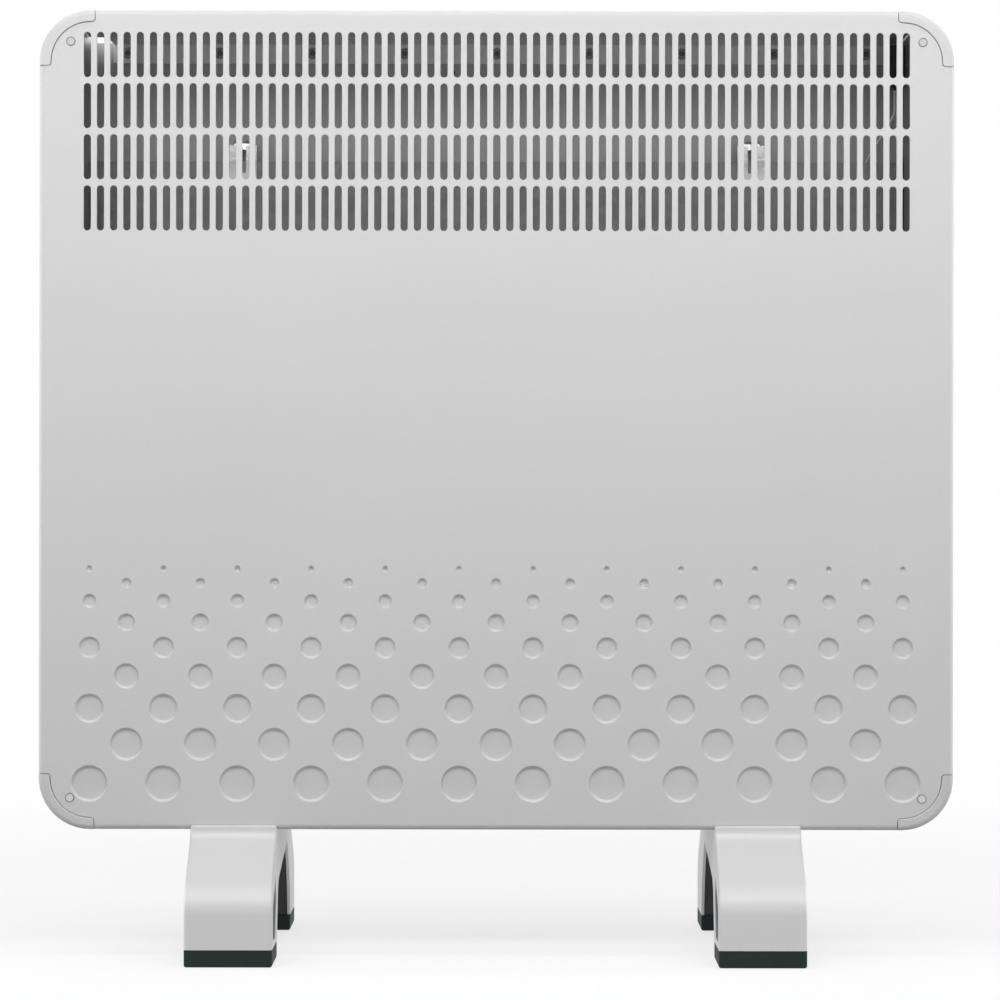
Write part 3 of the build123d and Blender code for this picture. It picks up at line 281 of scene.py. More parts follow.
def walls(surface, outline, low, high, view, round_low, round_high, steps):
    """The side of a plate between two depths, drawn in along a quarter circle at each end.

    At angle t of the quarter each run is drawn in by r(1 - sin t) and lies R(1 - cos t) past the end, where
    R is the largest radius, and its normal turns with it. The corners follow the crossings of the moved runs.
    Gives back the outlines of the two faces."""
    start, end, first, second, own = edges_of(outline)
    quarter = np.linspace(0, math.pi / 2, steps + 1)
    ends, rows = [], []
    for depth, way, radius in ((low, 1, round_low), (high, -1, round_high)):
        radius = radius((start + end) / 2) if callable(radius) else radius
        radius = np.broadcast_to(np.asarray(radius, float), len(start))
        most = radius.max()
        shift = corner_shifts(own, radius)
        ends.append(start + shift)
        angle = quarter if most > 0 else quarter[-1:]
        left = (1 - np.sin(angle))[None, :, None]
        near, far = shift[:, None] * left, np.roll(shift, -1, 0)[:, None] * left
        points = np.stack([start[:, None] + near, end[:, None] + far], 2)
        out = np.where(radius[:, None] > 0, most * np.sin(angle)[None], 1.0)[..., None]
        lean = np.stack([first[:, None] * out, second[:, None] * out], 2)
        face = -way * radius[:, None] * np.cos(angle)[None]
        rows.append((points, lean, face, depth + way * most * (1 - np.cos(angle))))
    points, lean, face = (np.concatenate([one, two[:, ::-1]], 1) for one, two in zip(rows[0][:3], rows[1][:3]))
    depth = np.concatenate([rows[0][3], rows[1][3][::-1]])[None, :, None]
    spots = placed(points[..., 0], points[..., 1], depth, view)
    surface.grid(spots, placed(lean[..., 0], lean[..., 1], face[..., None], view))
    return ends


def plate(surface, outer, holes, low, high, view, round_low=0.0, round_high=0.0, steps=3, hole_round=None):
    """A flat plate with through holes, whose edges are rounded at both faces."""
    loops = [walls(surface, outer, low, high, view, round_low, round_high, steps)]
    for hole in holes:
        pair = (round_low, round_high) if hole_round is None else (hole_round, hole_round)
        loops.append(walls(surface, hole, low, high, view, *pair, steps))
    for depth, index, sign in ((low, 0, -1), (high, 1, 1)):
        surface.flat([pair[index] for pair in loops], depth, view, sign)


def boxy(surface, low, high, radius, corner, view, steps=2):
    """A block between two corners in space, with softly rounded edges. The four along its depth have their own."""
    a, b, c = VIEWS[view]
    outline = box_outline(low[a], high[a], low[b], high[b], corner, 3)
    plate(surface, outline, [], low[c], high[c], view, radius, radius, steps)


def turned(surface, corners, radii, a, b, view, sides, closed=False, steps=3):
    """A profile of (radius, height) corners carried once round an axis at (a, b)."""
    points, normals = rounded_path(corners, radii, closed, steps)
    if closed:
        points, normals = closed_up(points), closed_up(normals)
    turn = full_turn(sides)[:, None]
    cosine, sine = np.cos(turn), np.sin(turn)
    spots = placed(a + points[None, :, 0] * cosine, b + points[None, :, 0] * sine, points[None, :, 1], view)
    surface.grid(spots, placed(normals[None, :, 0] * cosine, normals[None, :, 0] * sine, normals[None, :, 1], view))


def sheet_outline(corners, radii, half, steps=5):
    """The closed outline of a bent sheet: its middle line moved out and in by half its thickness."""
    points, normals = rounded_path(corners, radii, False, steps)
    last, first = unit(points[-1] - points[-2]), unit(points[0] - points[1])
    outer, inner = points + normals * half, (points - normals * half)[::-1]
    spots = np.concatenate([outer, outer[-1:], inner[:1], inner, inner[-1:], outer[:1]])
    return spots, np.concatenate([normals, [last, last], -normals[::-1], [first, first]])


def bent_line(corners, radius, steps=6):
    """A line in space through corners, with a round of one radius at each inner corner.

    Along a round the point is the centre less the radius times the turned normal, by equal angles."""
    corners = np.asarray(corners, float)
    spots = [corners[:1]]
    for before, at, after in zip(corners, corners[1:], corners[2:]):
        back, ahead = unit(before - at), unit(after - at)
        half = math.acos(float(np.clip(back @ ahead, -1, 1))) / 2
        reach = radius / math.tan(half)
        centre = at + unit(back + ahead) * radius / math.sin(half)
        first, last = at + back * reach - centre, at + ahead * reach - centre
        turn = math.pi - 2 * half
        share = np.linspace(0, 1, steps + 1)[:, None]
        spots.append(centre + (np.sin((1 - share) * turn) * first + np.sin(share * turn) * last) / math.sin(turn))
    spots.append(corners[-1:])
    return np.concatenate(spots)


def tube(surface, line, radius, sides=12):
    """A round tube along a line, its ends closed by flat discs."""
    run = np.diff(line, axis=0)
    along = unit(np.concatenate([run[:1], run[:-1] + run[1:], run[-1:]]))
    across = unit(np.cross(along, OFF_AXIS))
    other = np.cross(along, across)
    turn = full_turn(sides)[None, :, None]
    ring = across[:, None] * np.cos(turn) + other[:, None] * np.sin(turn)
    surface.grid(line[:, None] + radius * ring, ring)
    for at, sign in ((0, -1), (-1, 1)):
        disc = np.stack([np.broadcast_to(line[at], ring[at].shape), line[at] + radius * ring[at]])
        surface.grid(disc, sign * along[at])


# ---- screws and pieces ------------------------------------------------------------------

HEAD_ROUND = 0.55
THREAD_PITCH = 0.7
HAIR = 0.002  # keeps two faces of one piece just apart
SAME_PLANE, SHARP_EDGE = 1, 32  # degrees between two faces


def cross_recess(a, b, reach, half):
    """The plus-shaped outline of a screw's recess, with its normals inwards."""
    corners = [(half, half), (reach, half), (reach, -half), (half, -half), (half, -reach), (-half, -reach)]
    corners += [(-x, -y) for x, y in corners]
    return rounded_path([(a + x, b + y) for x, y in corners[::-1]], 0.08, True, 2, -1.0)


def screw(surface, a, b, seat, top, radius, view, shank=0.0, tip=None):
    """A pan-headed screw: its head rises from the seat to its top, and its thread runs the other way.

    The cross recess goes down through three quarters of the head."""
    way = 1 if top > seat else -1
    floor = seat + way * 0.25 * abs(top - seat)
    under = floor - way * HAIR
    rounds = (0.0, HEAD_ROUND) if way > 0 else (HEAD_ROUND, 0.0)
    head = ring_outline(a, b, radius, 20)
    recess = cross_recess(a, b, radius * 0.55, radius * 0.13)
    plate(surface, head, [recess], min(floor, top), max(floor, top), view, *rounds, 3, 0.0)
    plate(surface, head, [], min(seat, under), max(seat, under), view)
    if shank:
        turns = np.arange(2 * int(abs(tip - seat) / THREAD_PITCH) + 1)
        level = seat - way * THREAD_PITCH * turns / 2
        reach = np.where(turns % 2, shank, shank * 0.8)
        corners = np.concatenate([[(0, tip)], np.stack([reach, level], 1)[::-1], [(0, seat)]])
        turned(surface, corners[::way], 0.0, a, b, view, 14, steps=1)


def piece(name, surface, material, replaced=(), body=MAIN_BODY):
    """A finished piece: its mesh, finish, body and the nodes that it stands for."""
    made = bpy.data.objects.new(name, surface.mesh(name) if isinstance(surface, Surface) else surface)
    bpy.context.scene.collection.objects.link(made)
    made.data.materials.append(finish(material))
    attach(made, body)
    if replaced:
        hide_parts(*replaced)
    return made


def box_mm(part):
    """Lowest and highest corner of a node, in millimetres."""
    low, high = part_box(part)
    return np.array(low) / MM, np.array(high) / MM


def softened(part, width, material):
    """A copy of a node's solid with merged flat faces and softly rounded edges."""
    made = bmesh.new()
    made.from_mesh(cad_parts[part].data)
    bmesh.ops.remove_doubles(made, verts=made.verts, dist=1e-6)
    bmesh.ops.dissolve_limit(made, angle_limit=math.radians(SAME_PLANE), verts=made.verts, edges=made.edges)
    mesh = bpy.data.meshes.new("soft_" + part)
    made.to_mesh(mesh)
    made.free()
    edge = piece("soft_" + part, mesh, material, (part,)).modifiers.new("Soft edges", "BEVEL")
    edge.width = width * MM
    edge.segments = 2
    edge.limit_method = "ANGLE"
    edge.angle_limit = math.radians(SHARP_EDGE)
    edge.harden_normals = True
    edge.use_clamp_overlap = True


# ---- finishes -------------------------------------------------------------------------

CASE_WALL = 0.0008  # metres from the shield's side to the case's inner face
CASE_REAR = 0.0005
CASE_FLOOR = 0.0035
COVER_SKIN = 0.0003


def feed(target, inputs):
    """Fills a shader node's inputs: a socket is linked, and anything else becomes the input's own value."""
    for name, value in inputs.items():
        if isinstance(value, bpy.types.NodeSocket):
            target.id_data.links.new(value, target.inputs[name])
        else:
            target.inputs[name].default_value = value
    return target


def node(tree, kind, inputs=None, **settings):
    """A new shader node with its settings and inputs."""
    made = tree.nodes.new("ShaderNode" + kind)
    for name, value in settings.items():
        setattr(made, name, value)
    return feed(made, inputs or {})


def sum_of(tree, operation, first, second):
    """The result of one step of arithmetic on two values."""
    return node(tree, "Math", {0: first, 1: second}, operation=operation).outputs[0]


def stretched(tree, stretch=(1, 1, 1)):
    """Object coordinates, drawn out along an axis whose share is below one."""
    place = node(tree, "TexCoord").outputs["Object"]
    return node(tree, "Mapping", {"Scale": stretch, "Vector": place}).outputs["Vector"]


def grain(tree, scale, detail, stretch=(1, 1, 1)):
    """A soft pattern on object coordinates, as fine as the scale says (in repeats per metre)."""
    inputs = {"Scale": scale, "Detail": detail, "Vector": stretched(tree, stretch)}
    return node(tree, "TexNoise", inputs).outputs["Fac"]


def ramp(tree, source, low, high, start=0.3, end=0.7):
    """A ramp between two colours or two levels from a pattern's value."""
    made = node(tree, "ValToRGB", {"Fac": source})
    for stop, position, colour in zip(made.color_ramp.elements, (start, end), (low, high)):
        stop.position = position
        stop.color = (*colour, 1) if np.ndim(colour) else (colour, colour, colour, 1)
    return made.outputs["Color"]


def scaled(colour, share):
    """A colour made lighter or darker."""
    return tuple(min(1.0, c * share) for c in colour)


def base_finish(name, colour, roughness, metallic, drift, spread, relief=None, **inputs):
    """A finish whose tone drifts slowly and whose roughness varies finely.

    The drift is its share of the tone and its repeats per metre. The relief is its repeats per metre, detail,
    depth in millimetres, strength and stretch."""
    made = bpy.data.materials.new(name)
    made.use_nodes = True
    tree = made.node_tree
    tone, repeats = drift
    inputs["Metallic"] = metallic
    inputs["Base Color"] = ramp(tree, grain(tree, repeats, 4.0), scaled(colour, 1 - tone), scaled(colour, 1 + tone))
    inputs["Roughness"] = ramp(tree, grain(tree, repeats * 9, 2.0), roughness - spread, roughness + spread)
    if relief:
        scale, detail, depth, strength, *stretch = relief
        height = grain(tree, scale, detail, *stretch)
        bump = node(tree, "Bump", {"Distance": depth * MM, "Strength": strength, "Height": height})
        inputs["Normal"] = bump.outputs["Normal"]
    feed(tree.nodes["Principled BSDF"], inputs)
    return made


def lacquer(name, colour, roughness=0.42):
    """Baked lacquer on sheet steel: a faint orange-peel relief and a slow drift of tone."""
    coat = {"Coat Weight": 0.12, "Coat Roughness": 0.25}
    return base_finish(name, colour, roughness, 0.0, (0.012, 9.0), 0.03, (620, 2.0, 0.02, 0.35), **coat)


def silver(name, colour):
    """Satin silver lacquer: fine flake under a clear coat."""
    coat = {"Coat Weight": 0.4, "Coat Roughness": 0.1}
    return base_finish(name, scaled(colour, 1.08), 0.36, 0.75, (0.012, 12.0), 0.04, (2600, 1.0, 0.006, 0.4), **coat)


def moulded(name, colour, roughness, scale=1500, depth=0.05):
    """Moulded plastic with a fine spark-eroded grain."""
    return base_finish(name, colour, roughness, 0.0, (0.03, 30.0), 0.05, (scale, 2.0, depth, 0.5))


def sheet_metal(name, colour, roughness, scale, stretch=(1, 1, 1), depth=0.01):
    """Bare or plated metal with drawn marks along one direction."""
    return base_finish(name, colour, roughness, 1.0, (0.07, 60.0), 0.07, (scale, 3.0, depth, 0.6, stretch))


def spangled(name, colour):
    """Zinc-coated sheet: crystals a few millimetres across, each of its own brightness."""
    made = base_finish(name, colour, 0.45, 0.4, (0.05, 40.0), 0.08)
    tree = made.node_tree
    crystals = node(tree, "TexVoronoi", {"Scale": 190, "Vector": stretched(tree)}).outputs["Color"]
    tone = ramp(tree, crystals, scaled(colour, 0.86), scaled(colour, 1.08), 0.0, 1.0)
    feed(tree.nodes["Principled BSDF"], {"Base Color": tone})
    return made


def rubber(name, colour):
    """Dense dark rubber with a fine matt tooth."""
    dull = {"Specular IOR Level": 0.08}
    return base_finish(name, colour, 0.75, 0.0, (0.10, 60.0), 0.08, (900, 4.0, 0.08, 0.5), **dull)


def clear_lens(name, colour):
    """A clear red lens over a lamp that is off, finely ribbed inside."""
    clear = {"Transmission Weight": 0.1, "IOR": 1.49, "Coat Weight": 0.1}
    return base_finish(name, colour, 0.12, 0.0, (0.04, 80.0), 0.03, (700, 1.0, 0.05, 0.4, (1, 1, 3)), **clear)


def two_sided(name, colour, inside, limits):
    """Lacquer outside; within, a bare, partly metallic sheet whose tone is painted light, told apart by where a
    point stands.

    A point is within when it passes every limit: an axis, whether it must be below, and the level."""
    made = lacquer(name, scaled(colour, 0.97), 0.46)
    tree = made.node_tree
    shader = tree.nodes["Principled BSDF"]
    place = node(tree, "SeparateXYZ", {"Vector": node(tree, "TexCoord").outputs["Object"]})
    within = None
    for axis, below, level in limits():
        test = sum_of(tree, "LESS_THAN" if below else "GREATER_THAN", place.outputs[axis], level)
        within = test if within is None else sum_of(tree, "MULTIPLY", within, test)
    paint = shader.inputs["Base Color"].links[0].from_socket
    # painted light within: a tone darker than the lacquer is painted shade inside the case, a lighter one is painted
    # light under the cover
    blend = node(tree, "Mix", {"Factor": within, 6: paint, 7: (inside, inside, inside, 1)}, data_type="RGBA")
    feed(shader, {"Base Color": blend.outputs[2], "Metallic": sum_of(tree, "MULTIPLY", within, 0.6)})
    return made


def case_limits():
    """The back case's inner space, in metres."""
    low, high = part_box("back_case")
    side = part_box("heat_shield")[1][0] + CASE_WALL
    rear, floor = high[1] - CASE_REAR, low[2] + CASE_FLOOR
    return (("X", True, side), ("X", False, -side), ("Y", True, rear), ("Z", False, floor))


def cover_limits():
    """All of the top cover under its upper face, in metres."""
    return (("Z", True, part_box("top_cover")[1][2] - COVER_SKIN),)


FINISHES = {
    "panel_lacquer": (lacquer, "lacquer"),
    # the tones within are painted light: 0.43 is painted shade inside the case, 0.78 is painted light under the
    # cover
    "case_lacquer": (two_sided, "lacquer", 0.43, case_limits),
    "cover_lacquer": (two_sided, "lacquer", 0.78, cover_limits),
    "duct_sheet": (spangled, 0.42),
    # the shield's zinc is darker than the other zinc sheet: painted shade on the shield inside the duct
    "shield_sheet": (spangled, (0.30, 0.30, 0.305)),
    "zinc_sheet": (spangled, (0.36, 0.36, 0.37)),
    "foot_silver": (silver, "silver"),
    "pad_rubber": (rubber, "rubber"),
    "lens_red": (clear_lens, "lens"),
    # a dark core in each rivet's hollow: painted shade
    "rivet_metal": (sheet_metal, (0.16, 0.16, 0.165), 0.3, 900),
    "pin_steel": (sheet_metal, 0.62, 0.34, 900),
    "bright_plate": (sheet_metal, (0.86, 0.86, 0.87), 0.22, 700),
    "black_steel": (sheet_metal, (0.05, 0.05, 0.052), 0.38, 900),
    "element_metal": (sheet_metal, 0.66, 0.36, 900, (0.02, 1, 1), 0.03),
    "rod_metal": (sheet_metal, (0.34, 0.31, 0.28), 0.42, 700, (0.05, 1, 1)),
    "cap_moulding": (moulded, "caps", 0.42, 1100, 0.02),
    "core_black": (moulded, (0.012, 0.012, 0.013), 0.62, 700, 0.1),
    "ceramic": (moulded, (0.84, 0.82, 0.76), 0.66, 500, 0.08),
    "lead_white": (moulded, (0.84, 0.84, 0.82), 0.48, 900, 0.02),
    "dark_plastic": (moulded, "dark", 0.46),
    "bezel_plastic": (moulded, (0.11, 0.11, 0.112), 0.52, 1300, 0.08),
    "knob_plastic": (moulded, (0.085, 0.086, 0.088), 0.42, 1600, 0.04),
    "rocker_plastic": (moulded, (0.04, 0.04, 0.042), 0.2, 400, 0.01),
    "mark_white": (moulded, 0.82, 0.5, 900, 0.01),
    "nylon": (moulded, (0.78, 0.77, 0.71), 0.5, 900, 0.03),
    "case_plastic": (moulded, 0.60, 0.5, 1200, 0.05),
}


def finish(name):
    """The named finish, made the first time that it is asked for.

    Its colour is a grey, a colour or the name of one that a user may change."""
    if name not in bpy.data.materials:
        maker, colour, *rest = FINISHES[name]
        if isinstance(colour, str):
            colour = tuple(getattr(bpy.context.scene.heater_colours, colour))
        maker(name, colour if np.ndim(colour) else (colour, colour, colour), *rest)
    return bpy.data.materials[name]


# ---- front panel ----------------------------------------------------------------------

PANEL_SHEET = 1.2
CUT_LEG, CUT_BAND, CUT_RADIUS, CUT_END = 28.3, 6.3, 19.7, 1.8  # the cut for a corner cap
SIDE_LIP = 9.0
SLOT_COLUMNS, SLOT_PITCH, SLOT_WIDTH, SLOT_LENGTH = 63, 6.636, 3.6, 22.7
SLOT_ROWS, SLOT_DROP, SLOT_STEP = 4, 22.6, 25.7
DIMPLE_ROWS, DIMPLE_COLUMNS, DIMPLE_PITCH, DIMPLE_TOP = 9, 12, 37.15, 131.2
DIMPLE_STEP, DIMPLE_MORE = 7.2, 1.8  # the first step down, and what each next one adds
DIMPLE_WIDTH, DIMPLE_WIDER, DIMPLE_RIM = 2.1, 1.91, 1.4
PIN_INSET, PIN_HOLE = 16.0, 2.35
CORNERS = ((1, 1), (1, -1), (-1, 1), (-1, -1))  # the side and the end of each corner


def slot_spots(high):
    """Middles of all the slots, by column and row."""
    across = (np.arange(SLOT_COLUMNS) - SLOT_COLUMNS // 2) * SLOT_PITCH
    up = high[2] - SLOT_DROP - np.arange(SLOT_ROWS) * SLOT_STEP
    return np.stack(np.meshgrid(across, up), -1).reshape(-1, 2)


def dimple_spots(low):
    """Middle and width of each dimple: each row is wider by the same, and lower by a growing step."""
    row = np.arange(DIMPLE_ROWS)
    up = low[2] + DIMPLE_TOP - np.concatenate([[0], np.cumsum(DIMPLE_STEP + DIMPLE_MORE * row[:-1])])
    rows = []
    for n in row:
        count = DIMPLE_COLUMNS - n % 2
        across = (np.arange(count) - (count - 1) / 2) * DIMPLE_PITCH
        rows.append(np.stack([across, np.full(count, up[n]), np.full(count, DIMPLE_WIDTH + DIMPLE_WIDER * n)], 1))
    return np.concatenate(rows)


def pin_spots(low, high):
    """Middles of the four pins, the same way in from both edges."""
    x, z = ((low[axis] + PIN_INSET, high[axis] - PIN_INSET) for axis in (0, 2))
    return np.array([(a, b) for a in x for b in z])


def stadiums(spots, radius, reach, steps):
    """Outlines of upright slots with half-round ends, and their normals towards the slot's middle."""
    turn = np.concatenate([np.linspace(0, math.pi, steps + 1), np.linspace(math.pi, 2 * math.pi, steps + 1)])
    lift = np.repeat([reach - radius, radius - reach], steps + 1)
    out = on_circle(turn)
    points = spots[:, None] + radius * out[None] + np.stack([np.zeros_like(lift), lift], 1)[None]
    return points, np.broadcast_to(-out[None], points.shape)


def many_walls(surface, outlines, normals, edge, low, high, steps=2):
    """Through walls of many like holes at once, with a soft front edge.

    At angle t of the edge's quarter the wall is drawn in by r(1 - sin t) and lies r(1 - cos t) behind the face."""
    points = np.concatenate([outlines, outlines[:, :1]], 1)
    normals = np.concatenate([normals, normals[:, :1]], 1)
    t = np.append(np.linspace(0, math.pi / 2, steps + 1), math.pi / 2)
    depth = low + edge * (1 - np.cos(t))
    depth[-1] = high
    at = points[:, None] - normals[:, None] * (edge * (1 - np.sin(t)))[None, :, None, None]
    sine, cosine = np.sin(t)[None, :, None], np.cos(t)[None, :, None]
    lean = placed(normals[:, None, :, 0] * sine, normals[:, None, :, 1] * sine, -cosine, "front")
    surface.grid(placed(at[..., 0], at[..., 1], depth[None, :, None], "front"), lean)
    return points[:, :-1] - normals[:, :-1] * edge


def dimple_bowls(surface, spots, sizes, front, sign, sides=20, steps=4):
    """Pressed dimples: the depth falls from the rim to the floor by 3t^2 - 2t^3 across the sloping rim."""
    turn = full_turn(sides)
    outer = (spots[:, 2] + DIMPLE_RIM) / 2 + sizes.dimple_soft
    inner = np.maximum((spots[:, 2] - DIMPLE_RIM) / 2 - sizes.dimple_soft, 0.05)
    t = np.append(np.linspace(0, 1, steps + 1), 1.0)
    radius = outer[:, None] + (inner - outer)[:, None] * t[None]
    radius[:, -1] = 0
    fall = sizes.dimple_depth * (3 * t ** 2 - 2 * t ** 3)
    slope = sign * (sizes.dimple_depth * 6 * t * (1 - t) / (outer - inner)[:, None])[..., None]
    cosine, sine = np.cos(turn), np.sin(turn)
    x = spots[:, 0, None, None] + radius[..., None] * cosine
    z = spots[:, 1, None, None] + radius[..., None] * sine
    lean = placed(slope * cosine, slope * sine, float(sign), "front")
    surface.grid(placed(x, z, front + fall[None, :, None], "front"), lean)
    return spots[:, None, :2] + outer[:, None, None] * on_circle(turn)[None, :-1]


def corner_paths(low, high, roll):
    """The panel's cut edge at each corner, anticlockwise: four open paths with their normals."""
    paths = []
    for side, up in ((1, -1), (1, 1), (-1, 1), (-1, -1)):
        x = high[0] if side > 0 else low[0]
        z = high[2] if up > 0 else low[2]
        spots = [(CUT_LEG, roll), (CUT_LEG, CUT_BAND), (CUT_BAND, CUT_BAND), (CUT_BAND, CUT_LEG), (roll, CUT_LEG)]
        spots = [(x - side * a, z - up * b) for a, b in spots]
        if side * up > 0:
            spots.reverse()
        paths.append(rounded_path(spots, [0, CUT_END, CUT_RADIUS, CUT_END, 0], False, 8))
    return paths


def edge_roll(surface, start, end, inward, front, rear, roll, lip):
    """One folded edge of the tray: the sheet's section carried along a straight run, with its ends closed."""
    thin = PANEL_SHEET
    outer, outer_radii = [(roll, front), (0, front), (0, rear)], [0, roll, 0]
    inner, inner_radii = [(roll, front + thin), (thin, front + thin), (thin, rear)], [0, roll - thin, 0]
    if lip:
        outer, outer_radii = outer + [(lip, rear)], [0, roll, 1.5, 0]
        inner, inner_radii = inner[:2] + [(thin, rear - thin), (lip, rear - thin)], [0, roll - thin, 0.3, 0]
    skin, lean = rounded_path(outer, outer_radii, False, 6, -1.0)
    back, back_lean = rounded_path(inner, inner_radii, False, 6, 1.0)
    start, end, inward = (np.array(v, float) for v in (start, end, inward))

    def carried(pairs, at=np.zeros(2)):
        """Points or normals of the section, set down at one place of the run."""
        flat = at[None] + pairs[:, :1] * inward[None]
        return placed(flat[:, 0], flat[:, 1], pairs[:, 1], "front")

    for points, normals in ((skin, lean), (back, back_lean)):
        surface.grid(np.stack([carried(points, start), carried(points, end)]), np.stack([carried(normals)] * 2))
    tip = np.stack([skin[-1], back[-1]])
    out = carried(np.array([[1.0, 0.0]]) if lip else np.array([[0.0, 1.0]]))[0]
    surface.grid(np.stack([carried(tip, start), carried(tip, end)]), out)
    along = unit(end - start)
    for at, sign in ((start, -1), (end, 1)):
        normal = placed(sign * along[0], sign * along[1], 0.0, "front")
        surface.grid(np.stack([carried(skin, at), carried(back, at)]), normal)


def panel_mesh(sizes):
    """The pressed face between four rolled edges, with its slots, dimples and pin holes."""
    low, high = box_mm("front_panel")
    front, rear = low[1], high[1]
    back = front + PANEL_SHEET
    surface = Surface()
    paths = corner_paths(low, high, sizes.roll)
    outline = np.concatenate([points for points, _ in paths])
    for points, normals in paths:
        spots = np.stack([placed(points[:, 0], points[:, 1], y, "front") for y in (front, back)])
        surface.grid(spots, placed(normals[:, 0], normals[:, 1], 0.0, "front")[None])
    x, z0, z1 = high[0] - CUT_LEG, low[2] + CUT_LEG, high[2] - CUT_LEG
    for z, inward in ((low[2], 1), (high[2], -1)):
        edge_roll(surface, (-x, z), (x, z), (0, inward), front, rear, sizes.roll, 0)
    for x, inward in ((low[0], 1), (high[0], -1)):
        edge_roll(surface, (x, z0), (x, z1), (inward, 0), front, rear, sizes.roll, SIDE_LIP)
    slots, slot_normals = stadiums(slot_spots(high), SLOT_WIDTH / 2, SLOT_LENGTH / 2, 7)
    ring, ring_normals = ring_outline(0.0, 0.0, PIN_HOLE, 12, -1.0)
    holes = pin_spots(low, high)[:, None] + ring
    hole_normals = np.broadcast_to(ring_normals, holes.shape)
    dimples = dimple_spots(low)
    front_loops = [outline, *many_walls(surface, slots, slot_normals, sizes.slot_edge, front, back)]
    front_loops += list(many_walls(surface, holes, hole_normals, 0.0, front, back))
    front_loops += list(dimple_bowls(surface, dimples, sizes, front, -1))
    back_loops = [outline, *slots, *holes, *dimple_bowls(surface, dimples, sizes, back, 1)]
    surface.flat(front_loops, front, "front", -1)
    surface.flat(back_loops, back, "front", 1)
    return surface


class HEATER_OT_panel(bpy.types.Operator):
    """Shapes the pressed front panel"""

    bl_idname = "heater.panel"
    bl_label = "Front panel"

    def execute(self, context):
        piece("panel_skin", panel_mesh(context.scene.heater_sizes), "panel_lacquer", ("front_panel",))
        return {"FINISHED"}


# ---- corner caps and pins ---------------------------------------------------------------

CAP_LEG, CAP_RADIUS, CAP_END = 28.0, 26.0, 1.5
CAP_BAND, CAP_SHEET, CAP_ROLL = 6.0, 1.2, 3.0
LUG_FRONT, LUG_REAR, LUG_REACH, LUG_RADIUS = 1.5, 3.5, 22.0, 25.0  # the flat lug behind the panel
PIN_HEAD, PIN_SHANK, PIN_DENT = 2.0, 1.5, 0.12
PIN_SEAT, PIN_END = 1.48, 4.6  # behind the panel's face


def cap_path(side, up, low, high):
    """The panel's outline round one corner: a short leg, a quarter circle and a short leg.

    Gives its points, its outward normals and how far the rounded ends draw in there. The first and last
    stretches are closely spaced, because the cap's ends are rounded."""
    end = CAP_END * (1 - np.cos(np.linspace(0, math.pi / 2, 6)))
    leg = CAP_LEG - np.append(end, 2.0)
    out = on_circle(np.linspace(0, math.pi / 2, 15))[1:-1]
    first = np.stack([np.full(len(leg), high[0]), high[2] - leg], 1)
    arc = np.array([high[0] - CAP_RADIUS, high[2] - CAP_RADIUS]) + CAP_RADIUS * out
    last = np.stack([high[0] - leg[::-1], np.full(len(leg), high[2])], 1)
    points = np.concatenate([first, arc, last])
    normals = np.concatenate([np.tile([1.0, 0.0], (len(leg), 1)), out, np.tile([0.0, 1.0], (len(leg), 1))])
    room = CAP_END - np.sqrt(np.maximum(CAP_END ** 2 - (CAP_END - np.append(end, CAP_END)) ** 2, 0))
    room = np.concatenate([room, np.zeros(len(arc)), room[::-1]])
    middle = (low[2] + high[2]) / 2
    points = np.stack([side * points[:, 0], middle + up * (points[:, 1] - middle)], 1)
    return points, normals * np.array([side, up]), room


def cap_lug(side, up, low, high):
    """Outline of the flat lug inside a cap: two straight sides, and an arc that follows the corner."""
    off = CAP_RADIUS - LUG_REACH
    near = CAP_RADIUS - math.sqrt(LUG_RADIUS ** 2 - off ** 2)
    half = math.pi / 4 - math.asin(off / LUG_RADIUS)
    middle = CAP_RADIUS - LUG_RADIUS / math.cos(half) * math.cos(math.pi / 4)
    insets = [(LUG_REACH, LUG_REACH), (near, LUG_REACH), (middle, middle), (LUG_REACH, near)]
    corners = [(side * (high[0] - a), (high[2] if up > 0 else low[2]) - up * b) for a, b in insets]
    radii = [2.0, 0.0, LUG_RADIUS, 0.0]
    way = side * up
    return rounded_path(corners[::way], radii[::way], True, 12)


def cap_surface(surface, side, up, low, high, proud):
    """One corner cap: its section of band, roll and skirt carried round the corner, its ends closed."""
    front, rear = low[1], high[1]
    inner = front + LUG_FRONT
    section = [(CAP_BAND, front - proud), (0, front - proud), (0, rear), (CAP_SHEET, rear), (CAP_SHEET, inner)]
    section.append((CAP_BAND, inner))
    points, normals = map(closed_up, rounded_path(section, [0.5, CAP_ROLL, 0.2, 0.2, 0.3, 0.3], True, 5, -1.0))
    path, out, room = cap_path(side, up, low, high)
    inset = np.minimum(points[None, :, 0], CAP_BAND - room[:, None])
    flat = path[:, None] - out[:, None] * inset[..., None]
    lean = -out[:, None] * normals[None, :, :1]
    surface.grid(
        placed(flat[..., 0], flat[..., 1], points[None, :, 1], "front"),
        placed(lean[..., 0], lean[..., 1], normals[None, :, 1], "front"),
    )
    for row, ahead in ((0, 1), (-1, -2)):
        loop = np.stack([inset[row, :-1], points[:-1, 1]], 1)
        loop = loop[np.linalg.norm(loop - np.roll(loop, 1, 0), axis=1) > 1e-4]
        spots, faces = filled([loop])
        flat = path[row][None] - out[row][None] * spots[:, :1]
        along = placed(*unit(path[row] - path[ahead]), 0.0, "front")
        surface.add(placed(flat[:, 0], flat[:, 1], spots[:, 1], "front"), along, faces)
    plate(surface, cap_lug(side, up, low, high), [], inner, front + LUG_REAR, "front")


